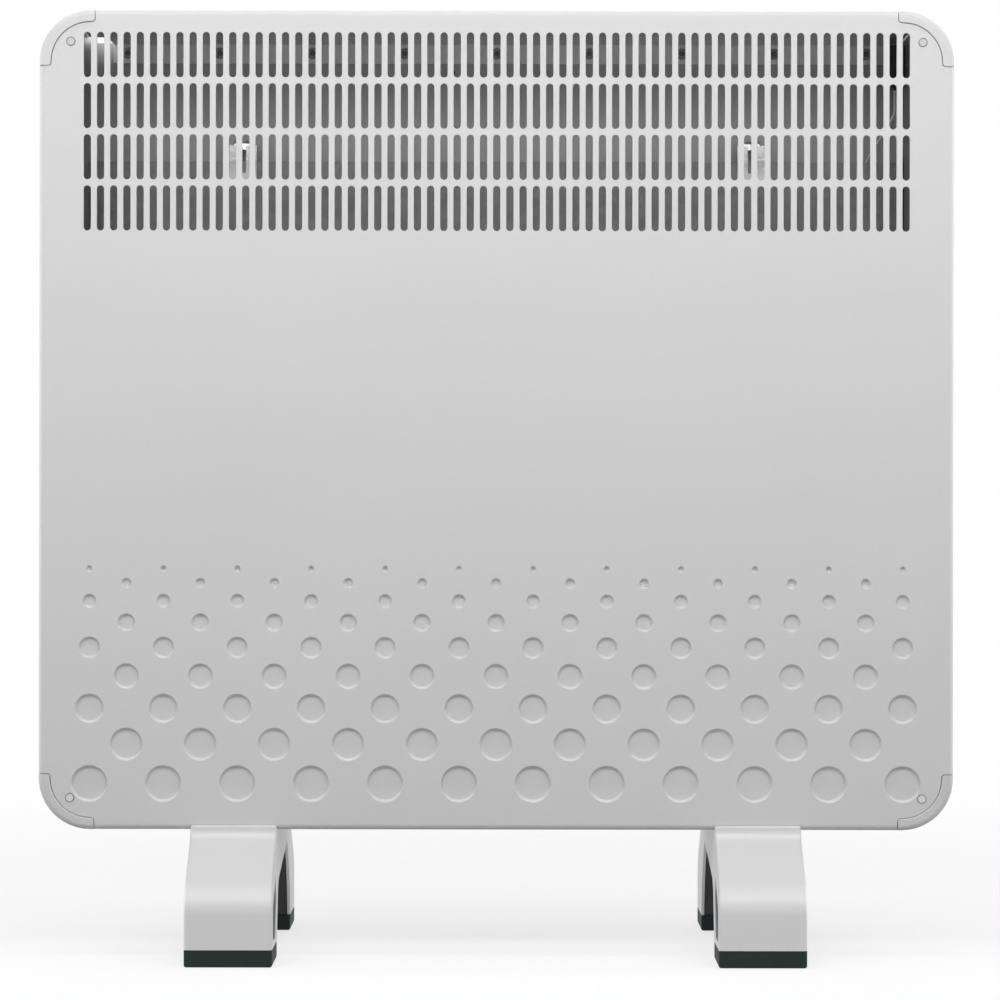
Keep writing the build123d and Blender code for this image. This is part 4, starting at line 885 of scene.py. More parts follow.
class HEATER_OT_caps(bpy.types.Operator):
    """Shapes the four corner caps and their pins"""

    bl_idname = "heater.caps"
    bl_label = "Corner caps and pins"

    def execute(self, context):
        low, high = box_mm("front_panel")
        proud = low[1] - box_mm("corner_caps")[0][1]
        surface = Surface()
        for side, up in CORNERS:
            cap_surface(surface, side, up, low, high, proud)
        piece("caps", surface, "cap_moulding", ("corner_caps",))
        pins = Surface()
        head, seat, end = box_mm("corner_pins")[0][1], low[1] + PIN_SEAT, low[1] + PIN_END
        profile = [(0, head + PIN_DENT), (0.9, head + PIN_DENT), (1.1, head), (PIN_HEAD, head), (PIN_HEAD, seat)]
        profile += [(PIN_SHANK, seat), (PIN_SHANK, end), (0, end)]
        for x, z in pin_spots(low, high):
            turned(pins, profile, [0, 0.1, 0.1, 0.35, 0, 0, 0.3, 0], x, z, "front", 24)
        piece("pins", pins, "pin_steel", ("corner_pins",))
        return {"FINISHED"}


# ---- feet -----------------------------------------------------------------------------

FOOT_SHEET, FOOT_FOLD = 1.5, 1.4
PAD_TOP = 8.6
TOE, KNEE, KNEE_RADIUS = 80.5, 35.0, 20.0
FOOT_TOP, FOOT_DIP, DIP_FRONT = 68.0, 64.0, -23.2
FOOT_BACK = [(41.0, 65.4, 7.0), (41.0, 70.5, 0.6), (38.7, 70.5, 0.0), (38.7, FOOT_TOP, 0.0)]
FOOT_FRONT = [
    (DIP_FRONT, FOOT_TOP, 0.0), (DIP_FRONT, FOOT_DIP, 0.0), (-46.7, FOOT_DIP, 0.0), (-46.7, 66.5, 0.0),
    (-49.0, 66.5, 0.9), (-49.0, 61.4, 7.0),
]
ARCH_FOOT, ARCH_SPRING, ARCH_CROWN, ARCH_HEEL = (-47.5, 7.6), (-38.5, 37.5), (24.5, 50.5), (47.5, 7.6)
ARCH_ROUND, ARCH_LEAN = 13.0, 5.0
LEG_LINE, TOP_LINE, LIP_FRONT, LIP_REAR = 48, 60, -46.8, 38.9  # where the foot's folded runs begin
LEAF = np.array([(-74.5, 12, 3.0), (-58.3, 12, 2.0), (-52.1, 29, 9.0), (-56, 42, 0.8), (-74.5, 29, 6.0)])


def leg_shift(corner, inset):
    """The sloping run's corner when both runs beside it move in by an inset."""
    run, rise = TOE - abs(corner[0]), corner[1] - KNEE
    return inset * run / (math.hypot(run, rise) + rise)


def foot_path(inset=0.0):
    """The foot's side view as (y, z, radius) corners, anticlockwise from the heel's low end to the toe's."""
    heel, lip = FOOT_BACK[0], FOOT_FRONT[-1]
    side = TOE - inset
    upper = FOOT_BACK + FOOT_FRONT
    if inset:
        rear, front, top, dip = heel[0] - inset, lip[0] + inset, FOOT_TOP - inset, FOOT_DIP - inset
        upper = [
            (rear, heel[1] - leg_shift(heel, inset), 0.0), (rear, top, 0.0), (DIP_FRONT + inset, top, 0.0),
            (DIP_FRONT + inset, dip, 0.0), (front, dip, 0.0), (front, lip[1] - leg_shift(lip, inset), 0.0),
        ]
    knees = [(way * side, KNEE - leg_shift(at, inset), KNEE_RADIUS - inset) for way, at in ((1, heel), (-1, lip))]
    return [(side, PAD_TOP, 0.0), knees[0]] + upper + [knees[1], (-side, PAD_TOP, 0.0)]


def arc_through(a, b, c, low, steps):
    """Points and normals towards the centre, on the circle through three points, from the first down to a level."""
    (ax, ay), (bx, by), (cx, cy) = a, b, c
    a2, b2, c2 = ax ** 2 + ay ** 2, bx ** 2 + by ** 2, cx ** 2 + cy ** 2
    d = 2 * (ax * (by - cy) + bx * (cy - ay) + cx * (ay - by))
    x = (a2 * (by - cy) + b2 * (cy - ay) + c2 * (ay - by)) / d
    y = (a2 * (cx - bx) + b2 * (ax - cx) + c2 * (bx - ax)) / d
    radius = math.hypot(ax - x, ay - y)
    normal = on_circle(np.linspace(math.atan2(ay - y, ax - x), math.asin((low - y) / radius), steps + 1))
    return np.array([x, y]) + radius * normal, -normal


def foot_outline(inset, rise):
    """The closed side view of the foot: its path and the arch, raised by a recess."""
    lean = (ARCH_SPRING[0] - ARCH_FOOT[0]) * (PAD_TOP - ARCH_FOOT[1]) / (ARCH_SPRING[1] - ARCH_FOOT[1])
    crown, heel = (ARCH_CROWN[0] + rise / 2, ARCH_CROWN[1] + rise), (ARCH_HEEL[0] + rise, ARCH_HEEL[1])
    arch = [(ARCH_FOOT[0] - rise + lean, PAD_TOP, 0.0), (ARCH_SPRING[0] - rise, ARCH_SPRING[1] + rise, ARCH_ROUND)]
    corners = np.array(foot_path(inset) + arch + [(*crown, 0.0)])
    band, normals = rounded_path(corners[:, :2], corners[:, 2], False, 8)
    middle = ((crown[0] + heel[0]) / 2 + ARCH_LEAN, (crown[1] + heel[1]) / 2)
    curve, curve_normals = arc_through(crown, middle, heel, PAD_TOP, 14)
    return np.concatenate([band, curve]), np.concatenate([normals, curve_normals])


def foot_rounding(middle):
    """Fold radius of the visible outer runs, a slight softening along the arch, and none where pieces meet."""
    y, z = middle[:, 0], middle[:, 1]
    outer = (abs(y) > LEG_LINE) | ((z > TOP_LINE) & ((y < LIP_FRONT) | (y > LIP_REAR)))
    inner = np.where(z > TOP_LINE, 0.0, 0.25)
    return np.where(z < PAD_TOP + 0.05, 0.0, np.where(outer, FOOT_FOLD, inner))


def foot_surface(low, high):
    """The folded shell: two sides with the arch and the leaf-shaped window, and the band between them."""
    surface = Surface()
    window = rounded_path(LEAF[:, :2], LEAF[:, 2], True, 5, -1.0)
    outline = foot_outline(0.0, 0.0)
    side = FOOT_SHEET - HAIR
    plate(surface, outline, [window], high - side, high, "side", 0.0, foot_rounding, 5, 0.0)
    plate(surface, outline, [window], low, low + side, "side", foot_rounding, 0.0, 5, 0.0)
    band = np.array(foot_path() + foot_path(FOOT_SHEET)[::-1])
    plate(surface, rounded_path(band[:, :2], band[:, 2], True, 8), [], low + FOOT_SHEET, high - FOOT_SHEET, "side")
    return surface


def foot_core(low, high):
    """The black core within a shell, with a leaf on each side that fills the window nearly flush."""
    gap, sunk = FOOT_SHEET + 0.3, 0.25
    core = Surface()
    plate(core, foot_outline(gap, 0.6), [], low + gap, high - gap, "side")
    points, normals = rounded_path(LEAF[:, :2], LEAF[:, 2], True, 5)
    filling = (points - normals * sunk, normals)
    plate(core, filling, [], low + sunk, low + gap, "side", 0.4, 0.0)
    plate(core, filling, [], high - gap, high - sunk, "side", 0.0, 0.4)
    return core


class HEATER_OT_feet(bpy.types.Operator):
    """Shapes the folded foot shells, their cores and the rubber pads"""

    bl_idname = "heater.feet"
    bl_label = "Feet"

    def execute(self, context):
        for side in ("left", "right"):
            low, high = (corner[0] for corner in box_mm(f"foot_shell_{side}"))
            piece(f"shell_{side}", foot_surface(low, high), "foot_silver", (f"foot_shell_{side}",))
            piece(f"core_{side}", foot_core(low, high), "core_black", (f"foot_core_{side}",))
            for end in ("front", "rear"):
                low, high = box_mm(f"foot_pad_{end}_{side}")
                pad = Surface()
                outer = box_outline(low[0], high[0], low[1], high[1], 1.5, 5)
                plate(pad, outer, [], low[2], high[2], "floor", 1.2, 0.3, 5)
                piece(f"pad_{end}_{side}", pad, "pad_rubber", (f"foot_pad_{end}_{side}",))
        return {"FINISHED"}


# ---- fasteners --------------------------------------------------------------------------

RIVET_COUNT, RIVET_PITCH = 9, 48.9
FLAT = math.cos(math.pi / 6)  # a hexagon's reach across flats as a share of its reach across corners
SMALL_HEAD, FOOT_HEAD = 3.2, 4.0
FOOT_SCREW_ROWS = (-8.5, 15.5)


def pair_spots(part):
    """The outermost (x, z) middles of a group of like small screws, from the group's own box."""
    low, high = box_mm(part)
    reach = SMALL_HEAD / FLAT
    return [(x, z) for x in (low[0] + reach, high[0] - reach) for z in (low[2] + reach, high[2] - reach)]


class HEATER_OT_fasteners(bpy.types.Operator):
    """Shapes the rivets and all the screws"""

    bl_idname = "heater.fasteners"
    bl_label = "Fasteners"

    def execute(self, context):
        low, high = box_mm("rear_rivets")
        rivets, cores = Surface(), Surface()
        level = (low[2] + high[2]) / 2
        face, seat = low[1], high[1]
        dome = [(1.5, seat), (1.5, face + 0.1), (2.1, face), (3.0, seat - 0.2), (3.0, seat)]
        core = [(0, face + 0.3), (1.49, face + 0.3), (1.49, seat), (0, seat)]
        half = (RIVET_COUNT - 1) / 2
        for place in np.linspace(-half, half, RIVET_COUNT) * RIVET_PITCH:
            turned(rivets, dome, [0, 0.3, 0.6, 0.3, 0], place, level, "front", 20, True)
            turned(cores, core, 0.0, place, level, "front", 20)
        piece("rivets", rivets, "duct_sheet", ("rear_rivets",))
        # the cores are dark as painted shade in the rivets' hollows
        piece("rivet_cores", cores, "rivet_metal")
        low, high = box_mm("wall_catch_screws")
        screws = Surface()
        for x, z in pair_spots("wall_catch_screws"):
            screw(screws, x, z, high[1] - 1.8, high[1], SMALL_HEAD, "front", 1.7, low[1])
        piece("catch_screws", screws, "black_steel", ("wall_catch_screws",))
        low, high = box_mm("case_screws")
        screws = Surface()
        for x, z in pair_spots("case_screws"):
            screw(screws, x, z, low[1], high[1], SMALL_HEAD, "front")
        piece("flange_screws", screws, "black_steel", ("case_screws",))
        low, high = box_mm("foot_screws")
        screws = Surface()
        for x in (low[0] + FOOT_HEAD / FLAT, high[0] - FOOT_HEAD / FLAT):
            for y in FOOT_SCREW_ROWS:
                screw(screws, x, y, low[2] + 2.6, low[2], FOOT_HEAD, "floor", 2.2, high[2])
        piece("feet_screws", screws, "black_steel", ("foot_screws",))
        return {"FINISHED"}


# ---- inside the duct ----------------------------------------------------------------------

CLIP_HALF_SHEET = 0.4
LEAD_BEHIND, LEAD_END, LEAD_BEND, LEAD_RADIUS = 28.0, 211.0, 9.0, 0.55
ROD_RADIUS = 3.5


def clip_surface(low, high):
    """A spring clip: a slotted tongue that leans back near its top, bent over to the rear wall."""
    surface = Surface()
    middle, half = (low[0] + high[0]) / 2, (high[0] - low[0]) / 2
    front, rear = low[1] + CLIP_HALF_SHEET, high[1] - CLIP_HALF_SHEET
    foot, top = low[2], high[2] - CLIP_HALF_SHEET
    tongue = [(front, foot), (front, top - 9.6), (front + 1.7, top - 2.0)]
    tongue = sheet_outline(tongue, [0, 10.0, 0], CLIP_HALF_SHEET)
    for x0, x1 in ((-half, -1.5), (1.5, half)):
        plate(surface, tongue, [], middle + x0, middle + x1, "side", 0.15, 0.15, 2)
    lower = sheet_outline([(front, foot), (front, foot + 4.0)], 0.0, 0.38)
    plate(surface, lower, [], middle - 1.8, middle + 1.8, "side")
    over = [(front + 1.3, top - 4.4), (front + 2.0, top), (rear, top), (rear, foot)]
    over = sheet_outline(over, [0, 1.6, 1.2, 0], CLIP_HALF_SHEET)
    plate(surface, over, [], middle - half + 2.5, middle + half - 2.5, "side", 0.15, 0.15, 2)
    return surface


def limiter_line():
    """Corners of the thin lead from the thermal cut-out down behind the shield."""
    low, high = box_mm("thermal_cutout")
    shield_top = box_mm("heat_shield")[1][2]
    x, y = (low[0] + high[0]) / 2, (low[1] + high[1]) / 2
    return [
        (x, y, low[2] + 0.5), (x, y, low[2] - 12.0), (x - 15.0, LEAD_BEHIND, shield_top),
        (x - 8.0, LEAD_BEHIND, LEAD_END + 12), (x - 12.0, 12.5, LEAD_END),
    ]


class HEATER_OT_duct(bpy.types.Operator):
    """Shapes the clips, the leads, the rod and the small pieces inside the duct"""

    bl_idname = "heater.duct"
    bl_label = "Inside the duct"

    def execute(self, context):
        for side in ("left", "right"):
            clip = clip_surface(*box_mm(f"shield_clip_{side}"))
            piece(f"clip_{side}", clip, "bright_plate", (f"shield_clip_{side}",))
            softened(f"element_bracket_{side}", 0.2, "zinc_sheet")
        low, high = box_mm("element_rod")
        rod = Surface()
        y, z = (low[1] + high[1]) / 2, (low[2] + high[2]) / 2
        profile = [(0, low[0]), (ROD_RADIUS, low[0]), (ROD_RADIUS, high[0]), (0, high[0])]
        turned(rod, profile, [0, 0.6, 0.6, 0], y, z, "side", 24)
        piece("rod", rod, "rod_metal", ("element_rod",))
        lead = Surface()
        tube(lead, bent_line(limiter_line(), LEAD_BEND), LEAD_RADIUS)
        piece("cutout_lead", lead, "lead_white", ("limiter_lead",))
        softened("element_insulators", 0.5, "ceramic")
        softened("thermal_cutout", 0.25, "dark_plastic")
        softened("terminal_block", 0.5, "nylon")
        return {"FINISHED"}


# ---- controls -------------------------------------------------------------------------

CONTROL_Y = 3.5
KNOB_Z, LENS_Z = 325.0, 305.0
SWITCHES = {"high": 287.0, "low": 260.0}
BEZEL_FACE = 217.0
KNOB_RADIUS, SKIRT, SPINDLE_HOLE = 15.5, 4.75, 3.02
GRIP_HALF, GRIP_REACH = 2.5, 14.0
DIAL_START, DIAL_END = 90, 360  # degrees, anticlockwise from the heater's back: the knob's own travel
DIAL_LAST = 5
TICK_NEAR, TICK_FAR, TICK_HALF = 16.3, 17.3, 0.15
DIGIT_REACH, DIGIT_SIZE, DIGIT_RELIEF = 19.4, 3.2, 0.00005
ROCKER_TIP = 10.0
HOLE_HALF, HOLE_TALL = 6.65, 9.75  # half the width and height of a switch's hole, its shell and its well
SHELL_HALF, SHELL_TALL = 6.5, 9.6
WELL_HALF, WELL_TALL, WELL_DEPTH = 5.3, 8.4, 7.35
STEM_HALF, STEM_TALL, STEM_PLAY = 3.5, 2.0, 0.15  # the lamp's stem


def about_middle(half, low, high, radius, steps=3, sign=1.0):
    """A rectangle about the controls' upright middle line, between two heights."""
    return box_outline(CONTROL_Y - half, CONTROL_Y + half, low, high, radius, steps, sign)


def flutes(radius, depth, count, steps=6):
    """A round outline with shallow flutes: r less depth times (1 + cos(n a)) / 2, and its normals."""
    turn = 2 * math.pi * np.arange(count * steps) / (count * steps)
    reach = radius - depth * (1 + np.cos(count * turn)) / 2
    slope = depth * count * np.sin(count * turn) / 2
    cosine, sine = np.cos(turn), np.sin(turn)
    points = np.stack([CONTROL_Y + reach * cosine, KNOB_Z + reach * sine], 1)
    return points, unit(np.stack([reach * cosine + slope * sine, reach * sine - slope * cosine], 1))


def digit(number, turn, depth):
    """A plain number as a thin mesh on the bezel, read from the heater's right side."""
    name = f"dial_{number}"
    curve = bpy.data.curves.new(name, "FONT")
    curve.body = str(number)
    curve.size = DIGIT_SIZE * MM
    curve.align_x = "CENTER"
    curve.align_y = "CENTER"
    curve.extrude = DIGIT_RELIEF
    carrier = bpy.data.objects.new(name, curve)
    mesh = bpy.data.meshes.new_from_object(carrier)
    bpy.data.objects.remove(carrier)
    spots = np.empty(len(mesh.vertices) * 3)
    mesh.vertices.foreach_get("co", spots)
    spots = spots.reshape(-1, 3)
    a, b = CONTROL_Y + DIGIT_REACH * math.cos(turn), KNOB_Z + DIGIT_REACH * math.sin(turn)
    spots = np.stack([depth * MM + spots[:, 2], a * MM + spots[:, 0], b * MM + spots[:, 1]], 1)
    mesh.vertices.foreach_set("co", spots.ravel())
    mesh.materials.clear()
    piece(name, mesh, "mark_white")


def bezel(low, high):
    """The control plate with its holes for the spindle, the switches and the lamp."""
    surface = Surface()
    holes = [ring_outline(CONTROL_Y, KNOB_Z, 4.9, 24, -1.0)]
    holes += [about_middle(HOLE_HALF, z - HOLE_TALL, z + HOLE_TALL, 0.3, 2, -1.0) for z in SWITCHES.values()]
    wide, tall = STEM_HALF + STEM_PLAY, STEM_TALL + STEM_PLAY
    holes.append(about_middle(wide, LENS_Z - tall, LENS_Z + tall, 0.3, 2, -1.0))
    outline = box_outline(low[1], high[1], low[2], high[2], 3.0, 5)
    plate(surface, outline, holes, low[0], high[0], "side", 0.0, 0.9, 4, 0.0)
    return surface


def dial_ticks(depth):
    """Short ticks round the knob, five to each number."""
    surface = Surface()
    for turn in np.radians(np.linspace(DIAL_START, DIAL_END, 5 * DIAL_LAST + 1)):
        along, across = on_circle(turn), np.array([-math.sin(turn), math.cos(turn)])
        corners = [(TICK_NEAR, -TICK_HALF), (TICK_FAR, -TICK_HALF), (TICK_FAR, TICK_HALF), (TICK_NEAR, TICK_HALF)]
        spots = [np.array([CONTROL_Y, KNOB_Z]) + r * along + s * across for r, s in corners]
        plate(surface, rounded_path(spots), [], depth - 0.05, depth + 0.06, "side")
    return surface


def knob(low, high):
    """A fluted round base with a grip ridge across it, and a domed hub over the spindle's end."""
    surface = Surface()
    skirt = low[0] + SKIRT
    bore = ring_outline(CONTROL_Y, KNOB_Z, SPINDLE_HOLE, 24, -1.0)
    plate(surface, flutes(KNOB_RADIUS, 0.5, 30), [bore], low[0], skirt, "side", 0.3, 1.3, 4, 0.0)
    grip = about_middle(GRIP_HALF, KNOB_Z - GRIP_REACH, KNOB_Z + GRIP_REACH, 2.3, 5)
    plate(surface, grip, [], skirt - 0.5, high[0], "side", 0.0, 1.1, 4)
    hub = [(SPINDLE_HOLE, skirt - 0.5), (4.6, skirt - 0.5), (4.6, skirt + 2.6), (0, skirt + 2.6), (0, skirt + 1.8)]
    hub.append((SPINDLE_HOLE, skirt + 1.8))
    turned(surface, hub, [0, 0, 1.0, 0, 0, 0], CONTROL_Y, KNOB_Z, "side", 28)
    return surface


def switch_body(low, high, z):
    """A switch's housing: a flanged box with a well for the rocker."""
    surface = Surface()
    well = about_middle(WELL_HALF, z - WELL_TALL, z + WELL_TALL, 0.5, 3, -1.0)
    shell = about_middle(SHELL_HALF, z - SHELL_TALL, z + SHELL_TALL, 0.4)
    rim = box_outline(low[1], high[1], low[2], high[2], 1.1, 4)
    floor = high[0] - WELL_DEPTH
    plate(surface, shell, [well], floor, BEZEL_FACE - 0.01, "side")
    plate(surface, rim, [well], BEZEL_FACE, high[0], "side", 0.0, 0.5, 3, 0.0)
    near = (low[0], CONTROL_Y - SHELL_HALF, z - SHELL_TALL)
    far = (floor - 0.01, CONTROL_Y + SHELL_HALF, z + SHELL_TALL)
    boxy(surface, near, far, 0.4, 0.4, "side")
    return surface


def rocker(pivot, z):
    """A rocker with two sloping faces on a pair of trunnions, and its marks, a bar and a ring.

    The marks lie on the faces: their depth grows evenly from the middle to both ends."""
    paddle, marks = Surface(), Surface()
    rise, tall, drop, half = 4.8, 8.05, 4.45, 4.95
    dip = tall * math.tan(math.radians(ROCKER_TIP))
    upright = tall - 0.35 - rise * math.tan(math.radians(ROCKER_TIP))
    profile = [(-drop, -tall / 2), (-0.35, -upright), (rise, -upright), (rise - dip, 0), (rise, upright)]
    profile += [(-0.35, upright), (-drop, tall / 2)]
    outline = rounded_path([(pivot + a, z + b) for a, b in profile], [1.0, 1.0, 0.7, 18.0, 0.7, 1.0, 1.0], True, 5)
    plate(paddle, outline, [], CONTROL_Y - half, CONTROL_Y + half, "front", 0.45, 0.45, 3)
    for y in (CONTROL_Y - 5.8, CONTROL_Y + 4.9):
        turned(paddle, [(0, y), (1.1, y), (1.1, y + 0.9), (0, y + 0.9)], 0.0, pivot, z, "front", 16)
    plate(marks, about_middle(0.25, z - 6.0, z - 3.9, 0.1, 2), [], -0.4, 0.05, "side")
    ring = [ring_outline(CONTROL_Y, z + 4.9, radius, 20, sign) for radius, sign in ((1.1, 1.0), (0.7, -1.0))]
    plate(marks, ring[0], ring[1:], -0.4, 0.05, "side")
    for points in marks.points:
        points[:, 0] += pivot + rise - dip + dip / upright * abs(points[:, 2] - z)
    for surface in (paddle, marks):
        surface.tip(pivot, z, ROCKER_TIP)
    return paddle, marks


class HEATER_OT_controls(bpy.types.Operator):
    """Shapes the control plate, the knob, the switches and the lamp"""

    bl_idname = "heater.controls"
    bl_label = "Controls"

    def execute(self, context):
        low, high = box_mm("control_bezel")
        piece("bezel", bezel(low, high), "bezel_plastic", ("control_bezel",))
        piece("dial_ticks", dial_ticks(high[0]), "mark_white")
        for number, turn in enumerate(np.radians(np.linspace(DIAL_START, DIAL_END, DIAL_LAST + 1))):
            digit(number, turn, high[0])
        low, high = box_mm("thermostat_knob")
        piece("knob", knob(low, high), "knob_plastic", ("thermostat_knob",), "thermostat_knob")
        pointer = Surface()
        outline = about_middle(0.45, KNOB_Z + 4.5, KNOB_Z + 12.6, 0.3)
        plate(pointer, outline, [], high[0] - 0.07, high[0] + 0.03, "side")
        piece("knob_pointer", pointer, "mark_white", (), "thermostat_knob")
        low, high = box_mm("indicator_lens")
        lens = Surface()
        boxy(lens, (BEZEL_FACE, low[1], low[2]), high, 0.5, 0.9, "side", 4)
        near = (low[0], CONTROL_Y - STEM_HALF, LENS_Z - STEM_TALL)
        far = (BEZEL_FACE + 0.1, CONTROL_Y + STEM_HALF, LENS_Z + STEM_TALL)
        boxy(lens, near, far, 0.2, 0.3, "side")
        piece("lens", lens, "lens_red", ("indicator_lens",))
        for name, z in SWITCHES.items():
            low, high = box_mm(f"switch_body_{name}")
            body = switch_body(low, high, z)
            piece(f"switch_{name}", body, "dark_plastic", (f"switch_body_{name}",))
            paddle, marks = rocker(high[0] - 2.2, z)
            moving = f"rocker_{name}"
            piece(f"paddle_{name}", paddle, "rocker_plastic", (moving,), moving)
            piece(f"paddle_marks_{name}", marks, "mark_white", (), moving)
        return {"FINISHED"}


# ---- wall catch and gland -----------------------------------------------------------------

CATCH_BACK = 2.0
CATCH_HALF, CATCH_NECK, CATCH_SHOULDER = 13.0, 10.0, 457.0  # the slider
CATCH_PLAY, CHANNEL_SHOULDER = 0.35, 457.15  # its channel in the housing
CATCH_WINDOW = (-6.35, 6.35, 433.15, 444.35)
RIB_HALF, RIB_LOW, RIB_HIGH = 6, 438, 444
GLAND_HEX, GLAND_BORE, GLAND_REACH = 10.39, 3.6, 6.0


def catch_housing(low, high):
    """The catch's housing: a back plate with a window, and a frame about the slider's channel."""
    surface = Surface()
    face = high[1] - CATCH_BACK
    window = box_outline(*CATCH_WINDOW, 0.8, 3, -1.0)
    outline = box_outline(low[0], high[0], low[2], high[2], 3.0, 5)
    plate(surface, outline, [window], face, high[1], "front", 0.0, 1.2, 4, 0.3)
    wide, neck, shoulder = CATCH_HALF + CATCH_PLAY, CATCH_NECK + CATCH_PLAY, CHANNEL_SHOULDER
    corners = [
        (low[0], low[2]), (high[0], low[2]), (high[0], high[2]), (neck, high[2]), (neck, shoulder), (wide, shoulder),
        (wide, low[2] + 2), (-wide, low[2] + 2), (-wide, shoulder), (-neck, shoulder), (-neck, high[2]),
        (low[0], high[2]),
    ]
    frame_outline = rounded_path(corners, [3.0, 3.0, 3.0] + [0.0] * 8 + [3.0], True, 5)
    plate(surface, frame_outline, [], low[1], face - 0.005, "front")
    return surface


def catch_slider(low, high):
    """The sliding plate with its narrower tongue, and the rib that is pushed down."""
    surface = Surface()
    wide, neck, shoulder = CATCH_HALF, CATCH_NECK, CATCH_SHOULDER
    corners = [(-wide, low[2]), (wide, low[2]), (wide, shoulder), (neck, shoulder), (neck, high[2])]
    corners += [(-neck, high[2]), (-neck, shoulder), (-wide, shoulder)]
    outline = rounded_path(corners, [0.8, 0.8, 0.8, 0.3, 2.0, 2.0, 0.3, 0.8], True, 4)
    plate(surface, outline, [], low[1], low[1] + 3, "front", 0.25, 0.25, 2)
    boxy(surface, (-RIB_HALF, low[1] + 2.9, RIB_LOW), (RIB_HALF, high[1], RIB_HIGH), 0.7, 1.0, "front", 3)
    return surface


def gland(low, high):
    """A round nipple with a rounded rim, and the hexagon that screws it to the case."""
    surface = Surface()
    y, z = (low[1] + high[1]) / 2, (low[2] + high[2]) / 2
    profile = [(GLAND_BORE, low[0]), (GLAND_REACH, low[0]), (GLAND_REACH, high[0] - 3.2), (5.1, high[0])]
    profile.append((GLAND_BORE, high[0]))
    turned(surface, profile, [0.2, 0.3, 1.0, 0.5, 0.3], y, z, "side", 28, True)
    hexagon = np.array([y, z]) + GLAND_HEX * on_circle(math.pi / 3 * np.arange(6))
    hole = ring_outline(y, z, 6.02, 28, -1.0)
    outline = rounded_path(hexagon, 0.8, True, 4)
    plate(surface, outline, [hole], BEZEL_FACE - 3.0, BEZEL_FACE + 1.0, "side", 0.0, 0.7, 3, 0.0)
    return surface


class HEATER_OT_back(bpy.types.Operator):
    """Shapes the wall catch and the cable gland"""

    bl_idname = "heater.back"
    bl_label = "Wall catch and gland"

    def execute(self, context):
        housing = catch_housing(*box_mm("wall_catch_housing"))
        piece("catch_housing", housing, "case_plastic", ("wall_catch_housing",))
        slider = catch_slider(*box_mm("wall_catch_slider"))
        piece("catch_slider", slider, "dark_plastic", ("wall_catch_slider",), "wall_catch")
        piece("gland", gland(*box_mm("cable_gland")), "dark_plastic", ("cable_gland",))
        return {"FINISHED"}


# ---- carried-over nodes -----------------------------------------------------------------

SOFT_NODES = {
    "back_case": (0.3, "case_lacquer", "case_paint"), "top_cover": (0.25, "cover_lacquer", "case_paint"),
    "heat_shield": (0.2, "shield_sheet", "zinc_sheet"), "control_guard": (0.2, "zinc_sheet", "zinc_sheet"),
    "thermostat_body": (0.5, "dark_plastic", "dark_plastic"),
}
NODE_FINISHES = {
    "element_profile": "element_metal", "element_leads": "lead_white", "thermostat_spindle": "bright_plate",
    "wall_catch_spring": "bright_plate",
}


class HEATER_OT_finishes(bpy.types.Operator):
    """Softens the sheet pieces, and gives each node that stays visible its finish"""

    bl_idname = "heater.finishes"
    bl_label = "Finishes"

    def execute(self, context):
        for name, (width, material, slot) in SOFT_NODES.items():
            softened(name, width, material)
        for name, material in NODE_FINISHES.items():
            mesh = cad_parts[name].data
            mesh.materials.clear()
            mesh.materials.append(finish(material))
        return {"FINISHED"}


# ---- stage ----------------------------------------------------------------------------

WORLD_LIGHT = 0.07
FLOOR_REACH = 6.0
FLOOR_DROP = 0.0002
FLOOR_SHADE, FLOOR_PALE = 0.3, 0.92
FADE_NEAR, FADE_FAR, FADE_LEAST = 0.3, 1.0, 0.72  # metres from the heater's foot, and the least share of white
CAMERA_PLACE, CAMERA_ROLL = (0.0019, -1.5465, 0.2299), -0.09
CAMERA_LENS, CAMERA_SENSOR, CAMERA_FAR = 107.5, 36.0, 50
# Each lamp's name, place, target, width, watts and height, and whether it shows in reflections and lights surfaces.
LAMPS = (
    ("lamp_top", (0.0, -0.58, 0.66), (0, -0.04, 0.28), 2.4, 7.5, 0.2, False, True),
    ("lamp_low", (0.0, -0.8, 0.05), (0, -0.08, 0.03), 1.2, 0.2, 0.04, True, True),
    ("lamp_front", (0.0, -2.4, 0.35), (0, 0, 0.25), 1.2, 4.0, 0.8, False, True),
    ("lamp_strip", (0.0, -1.3, 1.05), (0, -0.04, 0.2), 2.2, 3.0, 0.1, True, False),
    ("lamp_left", (-1.6, 0.15, 0.4), (0, 0, 0.2), 0.8, 8.0, 0.8, True, True),
    ("lamp_right", (1.6, 0.15, 0.4), (0, 0, 0.2), 0.8, 8.0, 0.8, True, True),
    ("lamp_high", (0.0, -0.25, 1.6), (0, -0.05, 0.2), 2.0, 8.0, 0.2, False, True),
    ("lamp_back", (0.0, 1.5, 0.8), (0, 0, 0.25), 1.6, 12.0, 1.6, True, True),
)


def camera_white(tree, bounced):
    """1 where the camera, a reflection or a clear piece looks, and otherwise the given strength."""
    path = node(tree, "LightPath").outputs
    seen = sum_of(tree, "MAXIMUM", path["Is Camera Ray"], path["Is Transmission Ray"])
    seen = sum_of(tree, "MAXIMUM", seen, path["Is Glossy Ray"])
    return node(tree, "MapRange", {"To Min": bounced, "To Max": 1.0, "Value": seen}).outputs["Result"]


